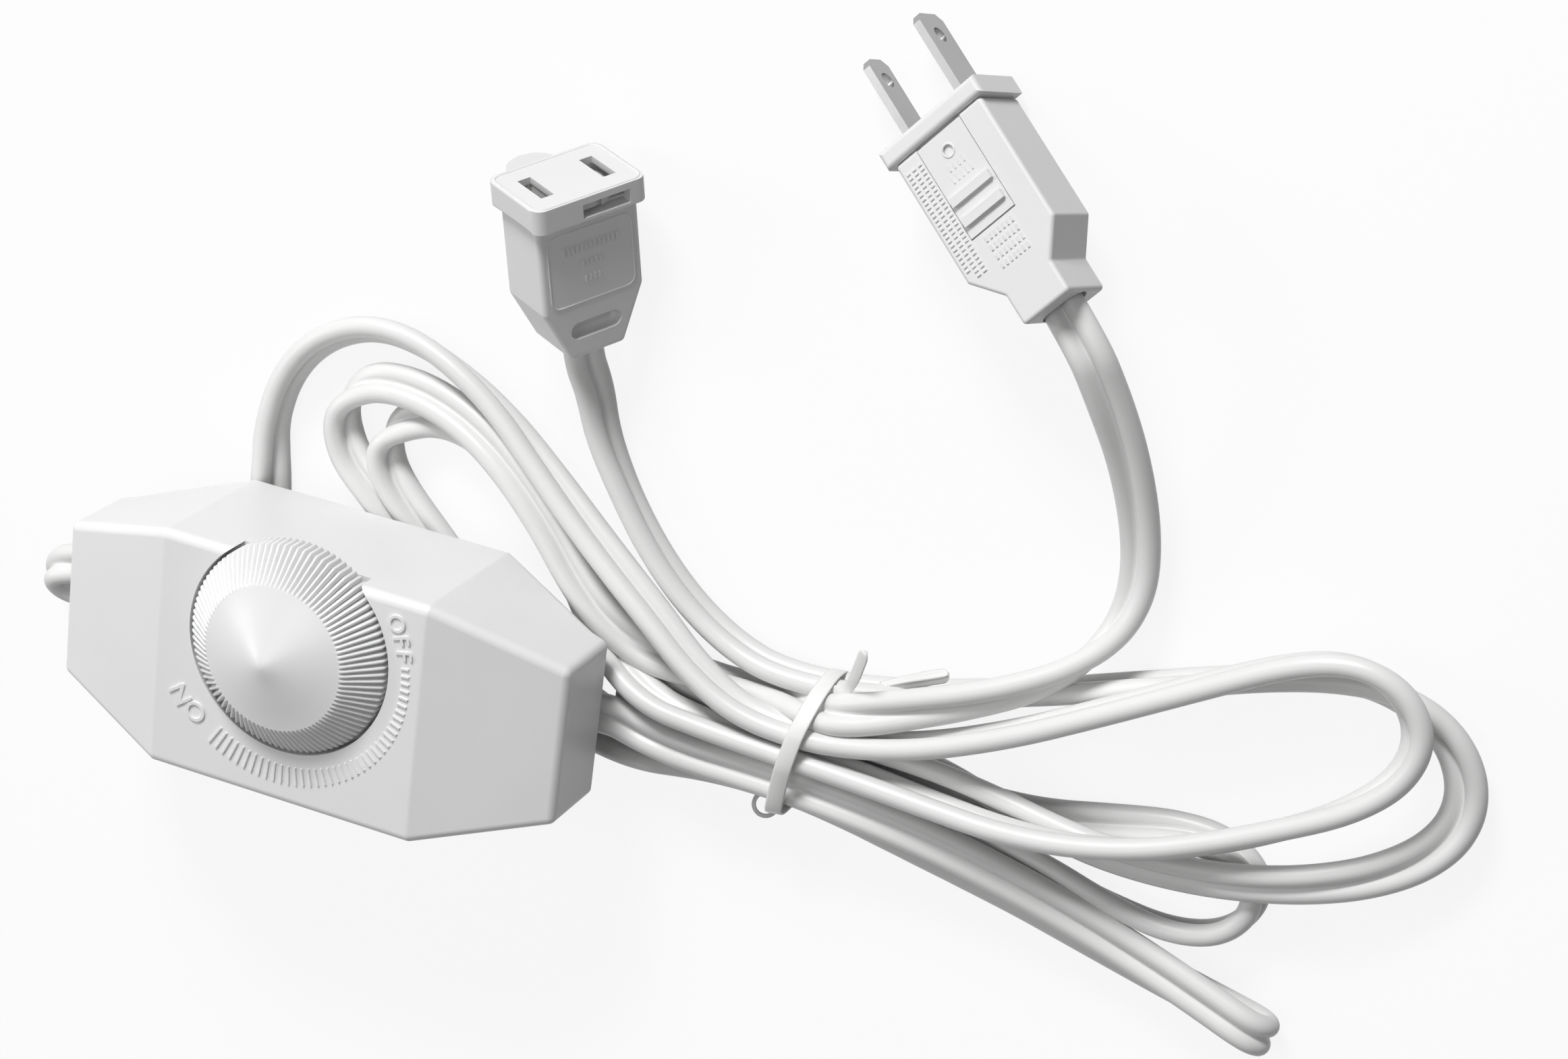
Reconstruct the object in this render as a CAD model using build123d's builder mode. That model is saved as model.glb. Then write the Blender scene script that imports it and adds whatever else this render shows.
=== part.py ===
from build123d import *
import math
import os

os.makedirs("parts", exist_ok=True)

# Inline lamp dimmer on a two-conductor cord, with its plug, its socket and
# the cord bundled with a twist tie. Millimetres. The origin is the centre of
# the box around the dimmer and its dial: +X along the dimmer towards the
# cord that comes from the plug, +Y its top side, +Z out of the dial.

# dimmer housing
LENGTH = 106.0          # over both ends
CENTRE_W = 55.0         # flat middle facet along X
HEIGHT = 48.0           # middle, along Y
END_H = 31.3            # end faces, along Y
DEPTH = 33.0            # middle, along Z, without the dial
END_Z0 = 9.0            # end faces start this far above the back
END_Z1 = 24.8           # and stop here
WALL = 2.2
EDGE_R = 1.8
DIAL_Y = 7.8            # dial centre above the middle of the housing
DIAL_R = 20.4
DIAL_CONE_R = 14.5
DIAL_RIM_Z = DEPTH + 0.5
DIAL_CONE_Z = DEPTH + 5.5
DIAL_TOP_Z = DEPTH + 10.0
DIAL_RIBS = 96
DIAL_RANGE = 150.0
WELL_GAP = 0.6
WELL_Z = DEPTH - 5.0
BOX_TOP_Y = DIAL_Y + DIAL_R
SHIFT = Vector(0, -(BOX_TOP_Y - HEIGHT / 2) / 2, -DIAL_TOP_Z / 2)

# cord, a flat twin of two 4 mm lobes; its solids are round tubes of nearly
# the same section
CORD_W = 8.0
CORD_T = 4.0
TUBE_D = 5.4
STEP = 5.9              # between strands side by side or one over the other
REST_GAP = 6.0          # the dimmer lies this far up, on its own cord
FLOOR = SHIFT.Z - REST_GAP
Z1 = FLOOR + TUBE_D / 2
Z2 = Z1 + STEP
Z3 = Z2 + STEP
TIE_LIFT = 0.8          # the tie passes under the strands
TIE_X = 88.0
TIE_Y = -2.0
TIE_L = 16.0            # straight run of every strand through the tie

# plug and socket
BLADE_PITCH = 12.7
BLADE_T = 1.5
BLADE_L = 16.0
PLUG_HALF_W = 10.0
PLUG_HALF_T = 6.5
DOOR_TRAVEL = 9.0
SHUTTER_RANGE = 24.0
PLUG_TILT = 15.5
PLUG_HEADING = -40.0
PLUG_AT = Vector(100.4, 123.2, FLOOR + 7.8)
SOCKET_AT = Vector(35.9, 99.5, FLOOR + 17.0)
SOCKET_X = Vector(0.52, 0.248, -0.818)
SOCKET_Z = Vector(0.07, -0.966, -0.248)

tilt = math.radians(PLUG_TILT)
head = math.radians(PLUG_HEADING)
plug_axis = Vector(
    math.cos(tilt) * math.cos(head), math.cos(tilt) * math.sin(head), math.sin(tilt)
)
PLUG = Plane(PLUG_AT, x_dir=Vector(-math.sin(head), math.cos(head), 0), z_dir=plug_axis)
SOCKET = Plane(SOCKET_AT, x_dir=SOCKET_X, z_dir=SOCKET_Z)
DIMMER = Plane(SHIFT)

made = {}


def keep(name, shape, plane):
    placed = shape.moved(plane.location)
    placed.label = name
    export_step(placed, f"parts/{name}.step")
    made[name] = placed
    print(name, "volume", round(placed.volume, 1), "valid", placed.is_valid)


def front_outline(shrink):
    h = HEIGHT / 2 - shrink
    e = END_H / 2 - shrink * 0.95
    c = CENTRE_W / 2 - shrink * 0.16
    n = LENGTH / 2 - shrink
    return [(-n, -e), (-n, e), (-c, h), (c, h), (n, e), (n, -e), (c, -h), (-c, -h)]


def side_outline(shrink):
    c = CENTRE_W / 2 - shrink * 0.16
    n = LENGTH / 2 + 1 - shrink
    k = 1.0 / (LENGTH / 2 - CENTRE_W / 2)
    z0 = END_Z0 * (1 + k) + shrink
    z1 = END_Z1 - (DEPTH - END_Z1) * k - shrink
    top = DEPTH - shrink
    return [(-n, z0), (-c, shrink), (c, shrink), (n, z0), (n, z1), (c, top), (-c, top), (-n, z1)]


def housing_block(shrink, z_low, z_high, rounded):
    with BuildPart() as block:
        with BuildSketch(Plane.XY.offset(z_low)):
            with BuildLine():
                Polyline(*front_outline(shrink), close=True)
            make_face()
        extrude(amount=z_high - z_low)
        with BuildSketch(Plane.XZ):
            with BuildLine():
                Polyline(*side_outline(shrink), close=True)
            make_face()
        extrude(amount=HEIGHT, both=True, mode=Mode.INTERSECT)
        if rounded:
            soft = [
                e for e in block.edges()
                if abs((e @ 0).Z - END_Z0) > 0.05 or abs((e @ 1).Z - END_Z0) > 0.05
            ]
            fillet(soft, radius=EDGE_R)
    return block.part


def taper(x, shrink):
    # height of the tapered back, or of its inner face, at x
    (x0, z0), (x1, z1) = side_outline(shrink)[2:4]
    return z0 + (z1 - z0) * (x - x0) / (x1 - x0)


def cord_plane(sign):
    # square to the cord where it leaves the tapered back
    d = math.radians(EXIT_SLOPE)
    return Plane(
        (sign * EXIT_X, 0, EXIT_Z), x_dir=(0, 1, 0), z_dir=(sign * math.cos(d), 0, -math.sin(d))
    )


# front housing: dial well with its notch in the top side, and four bosses for
# the cover's screws
BOSSES = [(-33, -14.5), (33, -14.5), (-33, 14.5), (33, 14.5)]
CORD_SLOT_W = 9.2
CORD_SLOT_H = 6.0
EXIT_X = LENGTH / 2 - 6.5           # where the cord's middle leaves the tapered back
EXIT_Z = taper(EXIT_X, 0)
EXIT_SLOPE = 24.0                   # degrees downwards
CLAMP_T = 3.5
CLAMP_W = 15.0
CLAMP_TOP = END_Z0 + 5.5
CLAMP_GAP = 0.1

outer_front = housing_block(0, END_Z0, DEPTH, True)
inner_front = housing_block(WALL, END_Z0 - 1, DEPTH, False)
with BuildPart() as front_housing:
    add(outer_front)
    add(inner_front, mode=Mode.SUBTRACT)
    with BuildSketch(Plane.XY.offset(WELL_Z - WALL)):
        with Locations((0, DIAL_Y)):
            Circle(DIAL_R + WELL_GAP + 1.6)
        with BuildLine():
            Polyline(*front_outline(WALL * 0.6), close=True)
        make_face(mode=Mode.INTERSECT)
    extrude(amount=DEPTH - WALL / 2 - WELL_Z + WALL)
    with BuildSketch(Plane.XY.offset(WELL_Z)):
        with Locations((0, DIAL_Y)):
            Circle(DIAL_R + WELL_GAP)
    extrude(amount=DEPTH, mode=Mode.SUBTRACT)
    with BuildSketch(Plane.XY.offset(WELL_Z - 2 * WALL)):
        with Locations((0, DIAL_Y)):
            Circle(3.7)
    extrude(amount=2 * WALL + 1, mode=Mode.SUBTRACT)
    with BuildSketch(Plane.XY.offset(END_Z0)):
        with Locations(*BOSSES):
            Circle(3.2)
    extrude(amount=DEPTH - WALL - 1.4 - END_Z0)
    with BuildSketch(Plane.XY.offset(END_Z0)):
        with Locations(*BOSSES):
            Circle(1.6)
    extrude(amount=12, mode=Mode.SUBTRACT)
    for sign in (-1, 1):
        with BuildSketch(cord_plane(sign)):
            SlotOverall(CORD_SLOT_W, CORD_SLOT_H)
        extrude(amount=11, both=True, mode=Mode.SUBTRACT)
keep("front_housing", front_housing.part, DIMMER)

# back cover: tapered ends with a slanted slot for each cord, counterbored screw
# holes and four posts under the circuit board
outer_back = housing_block(0, 0, END_Z0, True)
inner_back = housing_block(WALL, 0, END_Z0 + 1, False)
with BuildPart() as cover_posts:
    with BuildSketch():
        with Locations(*BOSSES):
            Circle(4.4)
    extrude(amount=6.2)
    add(outer_back, mode=Mode.INTERSECT)
with BuildPart() as back_cover:
    add(outer_back)
    add(inner_back, mode=Mode.SUBTRACT)
    add(cover_posts.part)
    for sign in (-1, 1):
        with BuildSketch(cord_plane(sign)):
            SlotOverall(CORD_SLOT_W, CORD_SLOT_H)
        extrude(amount=11, both=True, mode=Mode.SUBTRACT)
    with BuildSketch(Plane.XY.offset(-1)):
        with Locations(*BOSSES):
            Circle(3.2)
    extrude(amount=5.4, mode=Mode.SUBTRACT)
    with BuildSketch(Plane.XY.offset(-1)):
        with Locations(*BOSSES):
            Circle(1.7)
    extrude(amount=12, mode=Mode.SUBTRACT)
keep("back_cover", back_cover.part, DIMMER)

# four identical screws, cross recess in each head
with BuildPart() as cover_screws:
    with BuildSketch(Plane.XY.offset(2.5)):
        with Locations(*BOSSES):
            Circle(2.9)
    extrude(amount=1.9)
    with BuildSketch(Plane.XY.offset(4.4)):
        with Locations(*BOSSES):
            Circle(1.5)
    extrude(amount=13)
    with BuildSketch(Plane.XY.offset(2.5)):
        with Locations(*BOSSES):
            Rectangle(3.2, 0.8)
            Rectangle(0.8, 3.2)
    extrude(amount=1.1, mode=Mode.SUBTRACT)
keep("cover_screws", cover_screws.part, DIMMER)

# circuit board on the cover's posts
BOARD_Z = 6.2
BOARD_T = 1.6
BOARD_TOP = BOARD_Z + BOARD_T
with BuildPart() as circuit_board:
    with BuildSketch(Plane.XY.offset(BOARD_Z)):
        RectangleRounded(74, 37, 2)
        with Locations(*BOSSES):
            Circle(1.9, mode=Mode.SUBTRACT)
    extrude(amount=BOARD_T)
keep("circuit_board", circuit_board.part, DIMMER)

# rotary potentiometer: body under the well's floor, threaded neck through it
POT_H = 8.8
POT_Z = WELL_Z - WALL - POT_H
with BuildPart() as potentiometer:
    with BuildSketch(Plane.XY.offset(POT_Z)):
        with Locations((0, DIAL_Y)):
            Circle(8.5)
    extrude(amount=POT_H)
    with BuildSketch(Plane.XY.offset(WELL_Z - WALL)):
        with Locations((0, DIAL_Y)):
            Circle(3.5)
    extrude(amount=WALL + 2.6)
    with BuildSketch(Plane.XY.offset(BOARD_TOP)):
        with Locations((-5, DIAL_Y), (0, DIAL_Y + 5), (5, DIAL_Y)):
            Rectangle(1.2, 0.6)
    extrude(amount=POT_Z - BOARD_TOP)
    with BuildSketch(Plane.XY.offset(POT_Z + 1.5)):
        with Locations((0, DIAL_Y)):
            Circle(2.55)
    extrude(amount=20, mode=Mode.SUBTRACT)
keep("potentiometer", potentiometer.part, DIMMER)

with BuildPart() as potentiometer_nut:
    with BuildSketch(Plane.XY.offset(WELL_Z)):
        with Locations((0, DIAL_Y)):
            RegularPolygon(5.2, 6)
            Circle(3.55, mode=Mode.SUBTRACT)
    extrude(amount=1.8)
keep("potentiometer_nut", potentiometer_nut.part, DIMMER)

# dial shaft with a flat, and the ribbed dial that it carries
SHAFT_R = 2.45
with BuildPart() as dial_shaft:
    with BuildSketch(Plane.XY.offset(POT_Z + 2)):
        with Locations((0, DIAL_Y)):
            Circle(SHAFT_R)
    extrude(amount=WELL_Z + 3 - POT_Z - 2)
    with BuildSketch(Plane.XY.offset(WELL_Z + 3)):
        with Locations((0, DIAL_Y)):
            Circle(SHAFT_R)
        with Locations((0, DIAL_Y + 2 * SHAFT_R - 0.7)):
            Rectangle(2 * SHAFT_R, 2 * SHAFT_R, mode=Mode.SUBTRACT)
    extrude(amount=7)
keep("dial_shaft", dial_shaft.part, DIMMER)

DIAL_SKIRT_Z = WELL_Z + 0.8


def rib_ring(radius, depth):
    pts = []
    for i in range(2 * DIAL_RIBS):
        a = math.pi * i / DIAL_RIBS
        r = radius if i % 2 == 0 else radius - depth
        pts.append((r * math.cos(a), DIAL_Y + r * math.sin(a)))
    return pts


with BuildPart() as dial_knob:
    with BuildSketch(Plane.XY.offset(DIAL_SKIRT_Z)):
        with BuildLine():
            Polyline(*rib_ring(DIAL_R, 0.55), close=True)
        make_face()
    extrude(amount=DIAL_RIM_Z - DIAL_SKIRT_Z)
    with BuildSketch(Plane.XY.offset(DIAL_RIM_Z)):
        with BuildLine():
            Polyline(*rib_ring(DIAL_R, 0.55), close=True)
        make_face()
    with BuildSketch(Plane.XY.offset(DIAL_CONE_Z)):
        with BuildLine():
            Polyline(*rib_ring(DIAL_CONE_R, 0.4), close=True)
        make_face()
    loft(ruled=True)
    with BuildSketch(Plane.XY.offset(DIAL_CONE_Z)):
        with Locations((0, DIAL_Y)):
            Circle(DIAL_CONE_R - 0.7)
    with BuildSketch(Plane.XY.offset(DIAL_TOP_Z)):
        with Locations((0, DIAL_Y)):
            Circle(0.8)
    loft()
    with BuildSketch(Plane.XY.offset(DIAL_SKIRT_Z)):
        with Locations((0, DIAL_Y)):
            Circle(DIAL_R - 3)
            Circle(5, mode=Mode.SUBTRACT)
    extrude(amount=4.4, mode=Mode.SUBTRACT)
    with BuildSketch(Plane.XY.offset(DIAL_SKIRT_Z)):
        with Locations((0, DIAL_Y)):
            Circle(6.2)
    extrude(amount=2.3, mode=Mode.SUBTRACT)
    with BuildSketch(Plane.XY.offset(WELL_Z + 3)):
        with Locations((0, DIAL_Y)):
            Circle(SHAFT_R)
        with Locations((0, DIAL_Y + 2 * SHAFT_R - 0.7)):
            Rectangle(2 * SHAFT_R, 2 * SHAFT_R, mode=Mode.SUBTRACT)
    extrude(amount=7, mode=Mode.SUBTRACT)
keep("dial_knob", dial_knob.part, DIMMER)

# triac on its heat sink
with BuildPart() as heat_sink:
    with BuildSketch(Plane.XY.offset(BOARD_TOP)):
        with Locations((0, -17.15)):
            Rectangle(38, 2.4)
    extrude(amount=1.5)
    with BuildSketch(Plane.XY.offset(BOARD_TOP)):
        with Locations((0, -17.6)):
            Rectangle(38, 1.5)
    extrude(amount=17)
keep("heat_sink", heat_sink.part, DIMMER)

with BuildPart() as triac:
    with BuildSketch(Plane.XZ.offset(16.85)):
        with Locations((9, BOARD_TOP + 8)):
            Rectangle(10, 9)
    extrude(amount=-4.4)
    with BuildSketch(Plane.XY.offset(BOARD_TOP)):
        with Locations((6.5, -14.2), (9, -14.2), (11.5, -14.2)):
            Rectangle(0.8, 0.6)
    extrude(amount=4)
keep("triac", triac.part, DIMMER)

# interference choke: ring core and its winding
TERMINAL_X = EXIT_X - 9.0           # outer face of each terminal block
TERMINAL_L = 9.0
TERMINAL_H = 13.3
CHOKE = (TERMINAL_L + 12.0 - TERMINAL_X, -4.0)
CHOKE_Z = BOARD_TOP + 1.2
with BuildPart() as choke_core:
    with BuildSketch(Plane.XY.offset(CHOKE_Z)):
        with Locations(CHOKE):
            Circle(7)
            Circle(4, mode=Mode.SUBTRACT)
    extrude(amount=5.6)
keep("choke_core", choke_core.part, DIMMER)

with BuildPart() as choke_winding:
    with BuildSketch(Plane.XY.offset(CHOKE_Z - 1)):
        with Locations(CHOKE):
            Circle(8)
            Circle(3, mode=Mode.SUBTRACT)
        with Locations((CHOKE[0] + 6, CHOKE[1])):
            Rectangle(8, 3, mode=Mode.SUBTRACT)
    extrude(amount=7.6)
    with BuildSketch(Plane.XY.offset(CHOKE_Z)):
        with Locations(CHOKE):
            Circle(7)
            Circle(4, mode=Mode.SUBTRACT)
    extrude(amount=5.6, mode=Mode.SUBTRACT)
keep("choke_winding", choke_winding.part, DIMMER)

with BuildPart() as filter_capacitor:
    with BuildSketch(Plane.XY.offset(BOARD_TOP)):
        with Locations((14, -6.5)):
            RectangleRounded(15, 6, 0.8)
    extrude(amount=11)
keep("filter_capacitor", filter_capacitor.part, DIMMER)

with BuildPart() as timing_capacitor:
    with BuildSketch(Plane.XY.offset(BOARD_TOP)):
        with Locations((14, 1.5)):
            RectangleRounded(10, 4, 0.6)
    extrude(amount=7)
keep("timing_capacitor", timing_capacitor.part, DIMMER)

with BuildPart() as diac:
    with BuildSketch(Plane.YZ.offset(-22)):
        with Locations((9, BOARD_TOP + 1.1)):
            Circle(1.1)
    extrude(amount=5)
keep("diac", diac.part, DIMMER)

with BuildPart() as resistors:
    with BuildSketch(Plane.YZ.offset(14)):
        with Locations((8, BOARD_TOP + 1.3), (12, BOARD_TOP + 1.3)):
            Circle(1.3)
    extrude(amount=7)
keep("resistors", resistors.part, DIMMER)

# the cord ends in a terminal block at each end, behind a clamp that straddles it
for side, sign in (("left", -1), ("right", 1)):
    with BuildPart() as block:
        with BuildSketch(Plane.XY.offset(BOARD_TOP)):
            with Locations((sign * (TERMINAL_X - TERMINAL_L / 2), 0)):
                Rectangle(TERMINAL_L, 10)
        extrude(amount=TERMINAL_H)
        with BuildSketch(Plane.XY.offset(BOARD_TOP + TERMINAL_H - 1.6)):
            with Locations(
                (sign * (TERMINAL_X - TERMINAL_L / 2), -2.6),
                (sign * (TERMINAL_X - TERMINAL_L / 2), 2.6),
            ):
                Circle(1.3)
        extrude(amount=3, mode=Mode.SUBTRACT)
    keep(f"terminal_block_{side}", block.part, DIMMER)
    near = EXIT_X - 5.5
    far = near + CLAMP_T
    with BuildPart() as clamp:
        with BuildSketch(Plane.XZ):
            with BuildLine():
                Polyline(
                    (sign * near, taper(near, WALL) + CLAMP_GAP),
                    (sign * far, taper(far, WALL) + CLAMP_GAP),
                    (sign * far, CLAMP_TOP), (sign * near, CLAMP_TOP), close=True,
                )
            make_face()
        extrude(amount=CLAMP_W / 2, both=True)
        fillet(clamp.edges().filter_by(Axis.Z), radius=0.6)
        with BuildSketch(cord_plane(sign)):
            Circle(TUBE_D / 2 + 0.05)
        extrude(amount=14, both=True, mode=Mode.SUBTRACT)
    keep(f"cord_clamp_{side}", clamp.part, DIMMER)

# the conductor that passes straight through, between the terminal blocks
WIRE_X = TERMINAL_X - TERMINAL_L
with BuildPart() as through_wire:
    with BuildLine() as wire_path:
        run = FilletPolyline(
            (-WIRE_X, -3, 18.5), (3 - WIRE_X, -3, 18.5), (7.5 - WIRE_X, -4.6, 20.8),
            (WIRE_X - 7.5, -4.6, 20.8), (WIRE_X - 3, -3, 18.5), (WIRE_X, -3, 18.5), radius=2,
        )
    with BuildSketch(Plane(origin=run @ 0, z_dir=run % 0)):
        Circle(0.9)
    sweep(path=wire_path.wire())
keep("through_wire", through_wire.part, DIMMER)

# plug: two shells that meet at the blades' middle plane, local z from the
# blade face towards the cord, local y out of the fuse door
PLUG_OUT = [
    (-PLUG_HALF_W, 3.5), (-PLUG_HALF_W, 27.6), (-5.2, 33.4), (-5.2, 39.4),
    (5.2, 39.4), (5.2, 33.4), (PLUG_HALF_W, 27.6), (PLUG_HALF_W, 3.5),
]
NARROW_W = 6.35
WIDE_W = 7.9
DOOR_W = 9.9
DOOR_Z0 = 4.0
DOOR_L = 18.0
DOOR_T = 1.3
DOOR_GAP = 0.15
for side, sign in (("front", 1), ("back", -1)):
    with BuildPart() as shell:
        with BuildSketch(Plane.XZ):
            with BuildLine():
                Polyline(*PLUG_OUT, close=True)
            make_face()
        extrude(amount=-sign * PLUG_HALF_T)
        fillet(shell.edges().filter_by(Axis.Y), radius=0.8)
        fillet(shell.faces().sort_by(Axis.Y)[-1 if sign > 0 else 0].outer_wire().edges(), radius=0.7)
        with BuildSketch(Plane.XY):
            with Locations((0, sign * 3.7)):
                Rectangle(22.4, 7.4)
        extrude(amount=3.5)
        far = shell.faces().filter_by(Axis.Y).sort_by(Axis.Y)[-1 if sign > 0 else 0]
        fillet(far.edges(), radius=0.9)
        with BuildSketch(Plane.XY.offset(5.2)):
            Rectangle(16.2, 8.4)
        extrude(amount=21.6, mode=Mode.SUBTRACT)
        with BuildSketch(Plane.XY.offset(20)):
            SlotOverall(9.0, 5.8)
        extrude(amount=30, mode=Mode.SUBTRACT)
        with BuildSketch(Plane.XY.offset(-1)):
            with Locations((-BLADE_PITCH / 2, 0)):
                Rectangle(BLADE_T + 0.1, NARROW_W + 0.1)
            with Locations((BLADE_PITCH / 2, 0)):
                Rectangle(BLADE_T + 0.1, WIDE_W + 0.1)
        extrude(amount=8, mode=Mode.SUBTRACT)
        if sign > 0:
            with BuildSketch(Plane.XY.offset(-1)):
                with Locations((0, PLUG_HALF_T - DOOR_T / 2)):
                    Rectangle(DOOR_W + 2 * DOOR_GAP, DOOR_T + 2 * DOOR_GAP)
            extrude(amount=5.5, mode=Mode.SUBTRACT)
            with BuildSketch(Plane.XY.offset(3.5)):
                with Locations((0, PLUG_HALF_T)):
                    Rectangle(DOOR_W + 2 * DOOR_GAP, 2 * DOOR_T + 2 * DOOR_GAP)
            extrude(amount=DOOR_L + 0.8, mode=Mode.SUBTRACT)
            with BuildSketch(Plane.XY.offset(6.4)):
                with Locations((0, PLUG_HALF_T - 2)):
                    Rectangle(DOOR_W - 1.6, 4)
            extrude(amount=DOOR_L - 4, mode=Mode.SUBTRACT)
    keep(f"plug_shell_{side}", shell.part, PLUG)

for name, x, w in (("blade_narrow", -BLADE_PITCH / 2, NARROW_W), ("blade_wide", BLADE_PITCH / 2, WIDE_W)):
    with BuildPart() as blade:
        with BuildSketch(Plane.YZ.offset(x - BLADE_T / 2)):
            with Locations((0, -BLADE_L / 2)):
                Rectangle(w, BLADE_L)
            with Locations((0, 6)):
                Rectangle(NARROW_W, 12)
            with Locations((0, 4.7)):
                Rectangle(w, 9.4)
            with Locations((0, -11.6)):
                Circle(1.5, mode=Mode.SUBTRACT)
        extrude(amount=BLADE_T)
        tip = blade.faces().sort_by(Axis.Z)[0]
        chamfer(tip.edges().filter_by(Axis.X), length=1.4)
    keep(name, blade.part, PLUG)

with BuildPart() as fuse_door:
    with BuildSketch(Plane.XY.offset(DOOR_Z0)):
        with Locations((0, PLUG_HALF_T - DOOR_T / 2)):
            Rectangle(DOOR_W, DOOR_T)
    extrude(amount=DOOR_L)
    with BuildSketch(Plane.YZ.offset(-4.45)):
        with Locations((PLUG_HALF_T, DOOR_Z0 + 11.2), (PLUG_HALF_T, DOOR_Z0 + 15.2)):
            Rectangle(1.7, 1.6)
    extrude(amount=8.9)
    with BuildSketch(Plane.XZ.offset(-PLUG_HALF_T - 1)):
        with Locations((0, DOOR_Z0 + 3.4)):
            Circle(1.0)
    extrude(amount=1.4, mode=Mode.SUBTRACT)
keep("fuse_door", fuse_door.part, PLUG)

FUSE_Z = 9.0
FUSE_L = 10.0
with BuildPart() as fuses:
    with BuildSketch(Plane.XY.offset(FUSE_Z)):
        with Locations((-2.3, 2.2), (2.3, 2.2)):
            Circle(1.7)
    extrude(amount=FUSE_L)
keep("fuses", fuses.part, PLUG)

with BuildPart() as fuse_clips:
    with BuildSketch(Plane.XY.offset(FUSE_Z - 0.6)):
        with Locations((-2.3, 1.4), (2.3, 1.4)):
            Rectangle(3.6, 4.4)
    extrude(amount=0.6)
    with BuildSketch(Plane.XY.offset(FUSE_Z + FUSE_L)):
        with Locations((0, 1.4)):
            Rectangle(8.2, 4.4)
    extrude(amount=0.6)
keep("fuse_clips", fuse_clips.part, PLUG)

# socket: local z from its face towards the cord, local y out of the pocketed
# front, split along y = 0
SOCK_HALF_W = 10.4
SOCK_HALF_T = 6.4
FLANGE_HALF_W = 11.5
FLANGE_HALF_T = 8.6
FLANGE_L = 4.6
SOCK_OUT = [
    (-SOCK_HALF_W, FLANGE_L), (-SOCK_HALF_W, 22.0), (-5.6, 32.6), (5.6, 32.6),
    (SOCK_HALF_W, 22.0), (SOCK_HALF_W, FLANGE_L),
]
SLOT_L = 8.1
SLOT_T = 2.6
SHUTTER_Z = 1.4
SHUTTER_T = 1.8
SHUTTER_R = 7.2
TAB_R = 5.0
for side, sign in (("front", 1), ("back", -1)):
    with BuildPart() as shell:
        with BuildSketch(Plane.XZ):
            with BuildLine():
                Polyline(*SOCK_OUT, close=True)
            make_face()
        extrude(amount=-sign * SOCK_HALF_T)
        fillet(shell.edges().filter_by(Axis.Y), radius=1.2)
        fillet(shell.faces().sort_by(Axis.Y)[-1 if sign > 0 else 0].outer_wire().edges(), radius=1.0)
        with BuildSketch(Plane.XY):
            with Locations((0, sign * FLANGE_HALF_T / 2)):
                Rectangle(2 * FLANGE_HALF_W, FLANGE_HALF_T)
        extrude(amount=FLANGE_L)
        corners = shell.edges().filter_by(Axis.Z).filter_by(
            lambda e: abs(e.center().X) > FLANGE_HALF_W - 0.1 and abs(e.center().Y) > FLANGE_HALF_T - 0.1
        )
        fillet(corners, radius=2.2)
        with BuildSketch(Plane.XY.offset(FLANGE_L + 1.6)):
            Rectangle(17.2, 9.4)
        extrude(amount=15, mode=Mode.SUBTRACT)
        with BuildSketch(Plane.XY.offset(18)):
            SlotOverall(9.0, 5.8)
        extrude(amount=30, mode=Mode.SUBTRACT)
        with BuildSketch(Plane.XY.offset(-1)):
            with Locations((-BLADE_PITCH / 2, 0), (BLADE_PITCH / 2, 0)):
                Rectangle(SLOT_T, SLOT_L)
        extrude(amount=FLANGE_L + 4, mode=Mode.SUBTRACT)
        with BuildSketch(Plane.XY.offset(SHUTTER_Z - 0.1)):
            if sign > 0:
                Circle(SOCK_HALF_W - 0.4)
                with Locations((2.8, FLANGE_HALF_T)):
                    Rectangle(9.7, 6, mode=Mode.ADD)
                Rectangle(60, 2 * FLANGE_HALF_T - 2.4, mode=Mode.INTERSECT)
            else:
                Circle(SOCK_HALF_W - 0.4)
        extrude(amount=SHUTTER_T + 0.2, mode=Mode.SUBTRACT)
        if sign > 0:
            with BuildSketch(Plane.XY.offset(SHUTTER_Z - 0.1)):
                with Locations((2.8, FLANGE_HALF_T)):
                    Rectangle(9.7, 5)
            extrude(amount=2.7, mode=Mode.SUBTRACT)
            with BuildSketch(Plane.XZ.offset(-SOCK_HALF_T - 1)):
                with Locations((0, 27.0)):
                    SlotOverall(10.6, 3.4)
            extrude(amount=1.9, mode=Mode.SUBTRACT)
        else:
            with BuildSketch(Plane.XY.offset(SHUTTER_Z - 0.1)):
                with Locations((0, -FLANGE_HALF_T)):
                    Rectangle(2 * 9.6, 8)
            extrude(amount=SHUTTER_T + 0.2, mode=Mode.SUBTRACT)
    keep(f"socket_shell_{side}", shell.part, SOCKET)

for name, x in (("contact_left", -BLADE_PITCH / 2), ("contact_right", BLADE_PITCH / 2)):
    with BuildPart() as contact:
        with BuildSketch(Plane.XY.offset(FLANGE_L + 2.2)):
            with Locations((x - 1.15, 0), (x + 1.15, 0)):
                Rectangle(0.5, 6.4)
        extrude(amount=10)
        with BuildSketch(Plane.XY.offset(FLANGE_L + 12.2)):
            with Locations((x * 0.69, 0)):
                Rectangle(6.7, 6.4)
        extrude(amount=0.6)
    keep(name, contact.part, SOCKET)

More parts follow.
